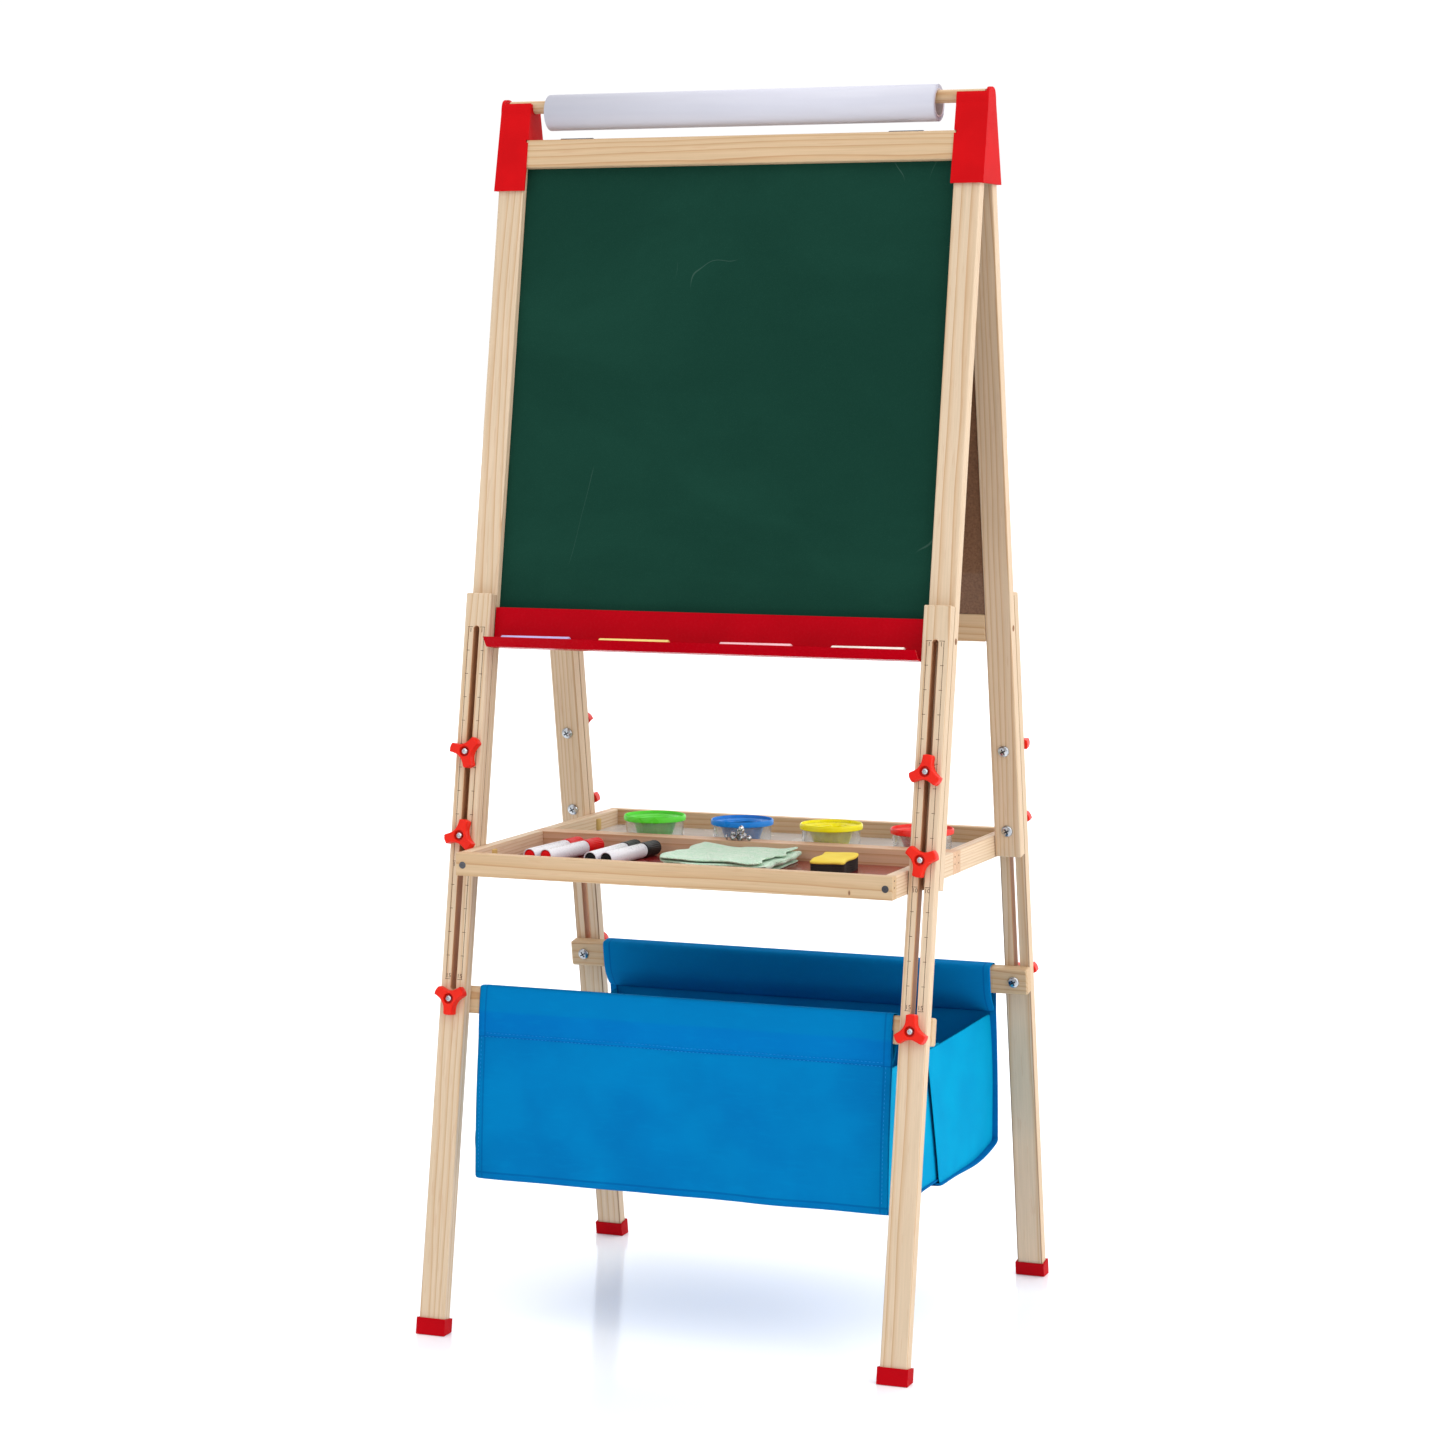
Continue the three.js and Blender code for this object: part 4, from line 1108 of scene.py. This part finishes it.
def makeStudio():
    scene = bpy.context.scene
    scene.view_settings.view_transform = "Standard"
    world = bpy.data.worlds.new("studio")
    world.use_nodes = True
    tree = world.node_tree
    across = parted(tree, addNode(tree, "TexCoord").outputs["Generated"])[1]
    lit = between(tree, across, -0.5, 0.6, studio["frontSky"], studio["backSky"])
    seen = addNode(tree, "LightPath").outputs["Is Camera Ray"]
    strength = addNode(tree, "Mix", {0: seen, 2: lit, 3: studio["backdrop"]}, data_type="FLOAT").outputs[0]
    tree.nodes["Background"].inputs["Color"].default_value = (1, 1, 1, 1)
    tree.links.new(strength, tree.nodes["Background"].inputs["Strength"])
    scene.world = world

    bm = newMesh()
    bmesh.ops.create_grid(bm, x_segments=1, y_segments=1, size=40)
    mesh = bpy.data.meshes.new("floor")
    bm.to_mesh(mesh)
    bm.free()
    floor = bpy.data.objects.new("floor", mesh)
    scene.collection.objects.link(floor)
    material, tree, shader = newMaterial("floorPaint", Base_Color=studio["floor"], Roughness=0.12,
                                         Specular_IOR_Level=0.18, Emission_Color=(1, 1, 1, 1),
                                         Emission_Strength=studio["floorGlow"])
    mesh.materials.append(material)
    floor.location.z = -studio["floorDrop"] * mm

    for name, (toward, power, softness) in studio["suns"].items():
        light = bpy.data.lights.new(name, "SUN")
        light.energy = power
        light.angle = math.radians(softness)
        holder = bpy.data.objects.new(name, light)
        scene.collection.objects.link(holder)
        holder.rotation_euler = Vector(toward).to_track_quat("Z", "Y").to_euler()

    camera = bpy.data.cameras.new("camera")
    camera.lens = studio["lens"]
    camera.sensor_width = 36
    eye = bpy.data.objects.new("camera", camera)
    scene.collection.objects.link(eye)
    eye.location = studio["eye"]
    eye.rotation_euler = (math.pi / 2 - studio["down"], 0, studio["around"])
    scene.camera = eye


# everything, in order
makeStudio()
looks = {
    "knob": plastic("knobPlastic", color255(230, 36, 16), color255(222, 30, 14), 0.36, 700, 0.08, 0.2),
    "cap": plastic("capPlastic", color255(205, 7, 15), color255(196, 5, 13), 0.62, 850, 0.35, 0.08),
    "ledge": plastic("ledgePlastic", color255(184, 0, 20), color255(178, 0, 18), 0.26, 300, 0.04, 0.04),
    "foot": plastic("footRubber", color255(186, 0, 16), color255(176, 0, 14), 0.6, 600, 0.2, 0.06),
    "zinc": metal("zincPlate", color255(206, 210, 214), color255(176, 180, 186)),
    "steel": metal("pinSteel", color255(220, 220, 222), color255(120, 120, 124), 0.2),
    "darkScrew": plastic("darkScrew", color255(82, 82, 88), color255(52, 52, 58), 0.4, 500, 0.1),
    "rust": plastic("screwHole", color255(96, 58, 36), color255(60, 36, 24), 0.8),
    # the hole's own brown, darkened further with painted shade of the hole
    "plug": plastic("plugBrownAndHoleShade", color255(150, 104, 66), color255(112, 72, 44), 0.8, 500, 0.3),
    # dark zinc for the screw's cross, which is painted shade of the recess
    "recess": metal("zincRecessShade", color255(88, 90, 94), color255(60, 62, 66), 0.5),
    "clip": metal("clipSteel", color255(150, 152, 156), color255(110, 112, 118), 0.3),
    "ink": plastic("rulerInk", color255(78, 56, 44), color255(94, 70, 56), 0.8, 900, 0.0, 0.1),
    "card": plastic("rollCore", color255(206, 196, 198), color255(190, 178, 182), 0.9, 700, 0.2, 0.1),
    "barrel": plastic("markerBarrel", color255(226, 226, 232), color255(220, 220, 228), 0.3, 500, 0.03),
    "redCap": plastic("markerRed", color255(222, 10, 16), color255(208, 6, 12), 0.4, 600, 0.08, 0.1),
    "blackCap": plastic("markerBlack", color255(26, 25, 26), color255(18, 17, 18), 0.4, 600, 0.08, 0.12),
    "foam": plastic("eraserFoam", color255(58, 52, 50), color255(42, 38, 38), 0.9, 1300, 0.5, 0.15),
    "felt": plastic("eraserFelt", color255(250, 228, 104), color255(244, 216, 84), 0.95, 1500, 0.6, 0.1),
    "peg": plastic("pegWood", color255(214, 184, 116), color255(198, 164, 94), 0.6, 500, 0.15),
    "thread": plastic("binThread", color255(26, 140, 214), color255(16, 124, 200), 0.8, 900, 0.1, 0.2),
    "paper": printedPaper(),
}


def clearPlastic(name, color, roughness=0.12, through=1.0, gloss=0.5):
    material, tree, shader = newMaterial(name, Transmission_Weight=through, IOR=1.45, Specular_IOR_Level=gloss)
    cloud = noise(tree, place(tree), 60.0, 2.0)
    pale = tuple(min(1, c + 0.04) for c in color)
    feed(tree, shader, Base_Color=mixColor(tree, between(tree, cloud, 0.3, 0.7), color, pale),
         Roughness=between(tree, cloud, 0.3, 0.7, roughness * 0.8, roughness * 1.3))
    return material


threadPitch = 0.0009


def band(tree, value, low, high, soft):
    # one between low and high, with soft edges outside them
    return times(tree, between(tree, value, low - soft, low), between(tree, value, high, high + soft, 1.0, 0.0))


def binBands(tree, parts, mixed):
    # the sleeve over the rail, the hem under it, and the side and bottom seams with their stitch lines
    over = between(tree, parts[1], 0.024, 0.029, 1.0, 0.0)
    hem = between(tree, parts[1], 0.052, 0.0545, 1.0, 0.0)
    mixed = mixColor(tree, times(tree, hem, 0.4), mixed, color255(0, 108, 196))
    mixed = mixColor(tree, times(tree, over, 0.55), mixed, color255(0, 130, 188))
    low = parted(tree, addNode(tree, "TexCoord").outputs["Object"])[2]
    seam = band(tree, calc(tree, "ABSOLUTE", parts[0]), 0.2268, 0.2275, 0.0011)
    under = between(tree, low, 0.1685, 0.1695, 1.0, 0.0)
    line = times(tree, under, between(tree, low, 0.1665, 0.1675))
    mixed = mixColor(tree, times(tree, under, 0.35), mixed, color255(0, 108, 178))
    lines = times(tree, calc(tree, "MAXIMUM", seam, line), 0.5)
    mixed = mixColor(tree, lines, mixed, color255(0, 84, 150))
    double = band(tree, parts[1], 0.0532, 0.0538, 0.0007)
    return mixColor(tree, times(tree, double, 0.6), mixed, color255(0, 84, 160))


def clothWeave(name, color, deep, bands=True):
    # a plain weave in the cloth's own flat coordinates, deeper where it is doubled over the rail and at the hem
    material, tree, shader = newMaterial(name, Specular_IOR_Level=0.04, Roughness=0.9)
    flat = addNode(tree, "UVMap", uv_map="Cloth").outputs[0]
    parts = parted(tree, flat)
    wave = {"Vector": flat, "Scale": 2 * math.pi / (20 * threadPitch), "Distortion": 0.6, "Detail": 1.0}
    warp, weft = [addNode(tree, "TexWave", wave, bands_direction=axis).outputs[0] for axis in "XY"]
    weave = times(tree, warp, weft)
    cloud = noise(tree, place(tree), 13.0, 3.0)
    slub = noise(tree, place(tree, size=(5, 5, 1)), 220.0, 2.0)
    mixed = mixColor(tree, between(tree, cloud, 0.3, 0.7), deep, color)
    if bands:
        mixed = binBands(tree, parts, mixed)
    mixed = mixColor(tree, times(tree, between(tree, weave, 0.1, 0.7, 1.0, 0.0), 0.12), mixed, (0, 0.08, 0.25))
    mixed = mixColor(tree, times(tree, between(tree, slub, 0.5, 0.75), 0.10), mixed, (0.0, 0.3, 0.62))
    feed(tree, shader, Base_Color=mixed)
    addBump(tree, shader, calc(tree, "ADD", weave, slub), 0.3, 0.0003)
    return material


def terryCloth():
    material, tree, shader = newMaterial("terryCloth", Specular_IOR_Level=0.1, Roughness=1.0, Sheen_Weight=0.3,
                                         Sheen_Roughness=0.6)
    loops = addNode(tree, "TexVoronoi", {"Vector": place(tree), "Scale": 620.0}).outputs["Distance"]
    cloud = noise(tree, place(tree), 130.0, 4.0, 0.65)
    color = mixColor(tree, between(tree, cloud, 0.3, 0.75), color255(202, 240, 212), color255(234, 251, 234))
    # painted shade: the hollows between the terry loops are painted darker
    hollowShade = times(tree, between(tree, loops, 0.3, 0.8), 0.3)
    color = mixColor(tree, hollowShade, color, color255(110, 198, 150))
    feed(tree, shader, Base_Color=color)
    addBump(tree, shader, calc(tree, "SUBTRACT", cloud, loops), 0.9, 0.0012)
    return material


looks["fabric"] = clothWeave("binCloth", color255(0, 128, 192), color255(0, 116, 182))
# the end panels are the same cloth as the front, in a brighter copy: painted light from the side
looks["fabricEnd"] = clothWeave("binEndClothLit", color255(0, 160, 205), color255(0, 148, 196), False)
looks["binding"] = clothWeave("binSeamCloth", color255(0, 112, 176), color255(0, 102, 166), False)
looks["terry"] = terryCloth()
looks["clear"] = clearPlastic("cupPlastic", (0.95, 0.97, 0.97), 0.1, 0.9)
for color, tint in cupColors.items():
    looks[color + "Lid"] = clearPlastic(color + "LidPlastic", color255(*tint), 0.32, 0.06, 0.15)


def paintNodes():
    paintPine()
    red = trayPanel("redPanel", color255(150, 34, 36), color255(138, 28, 30), 0.18)
    pale = trayPanel("palePanel", color255(206, 208, 206), color255(196, 198, 198), 0.2)
    materials = {"chalkboard": chalkPaint(), "whiteboard": whiteFace(), "chalk_ledge": looks["ledge"],
                 "marker_ledge": looks["ledge"], "front_box_floor": red, "rear_box_floor": pale}
    for side in hands:
        materials[f"end_cap_{side}"] = looks["cap"]
        materials[f"paper_clip_{side}"] = looks["clip"]
        for end in ends:
            materials[f"{end}_foot_{side}"] = looks["foot"]
    for node, material in materials.items():
        paint(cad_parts[node], material)
    print("CAD nodes painted")


paintNodes()
makeFasteners()
for end in ends:
    for side in hands:
        makeRuler(end, side)
print("rulers printed")
makeRoll()
for end in ends:
    makeBinHalf(end)
print("bin sewn")
for index, color in enumerate(cupColors):
    makeCup(index, color)
for index, (color, x, y, turn) in enumerate(markers):
    makeMarker(index, color, x, y, turn)
makeTowel()
makeEraser()
makePins()
makeChalks()
for end in ends:
    flip = Matrix.Rotation(math.pi, 4, "Z") if end == "rear" else Matrix()
    for side in hands:
        makeTrayHardware(end, side, flip)
        makeStilePlug(end, side)
makeClipPlate("left", -208)
makeClipPlate("right", 174.5)
print("tray filled and hardware fitted")
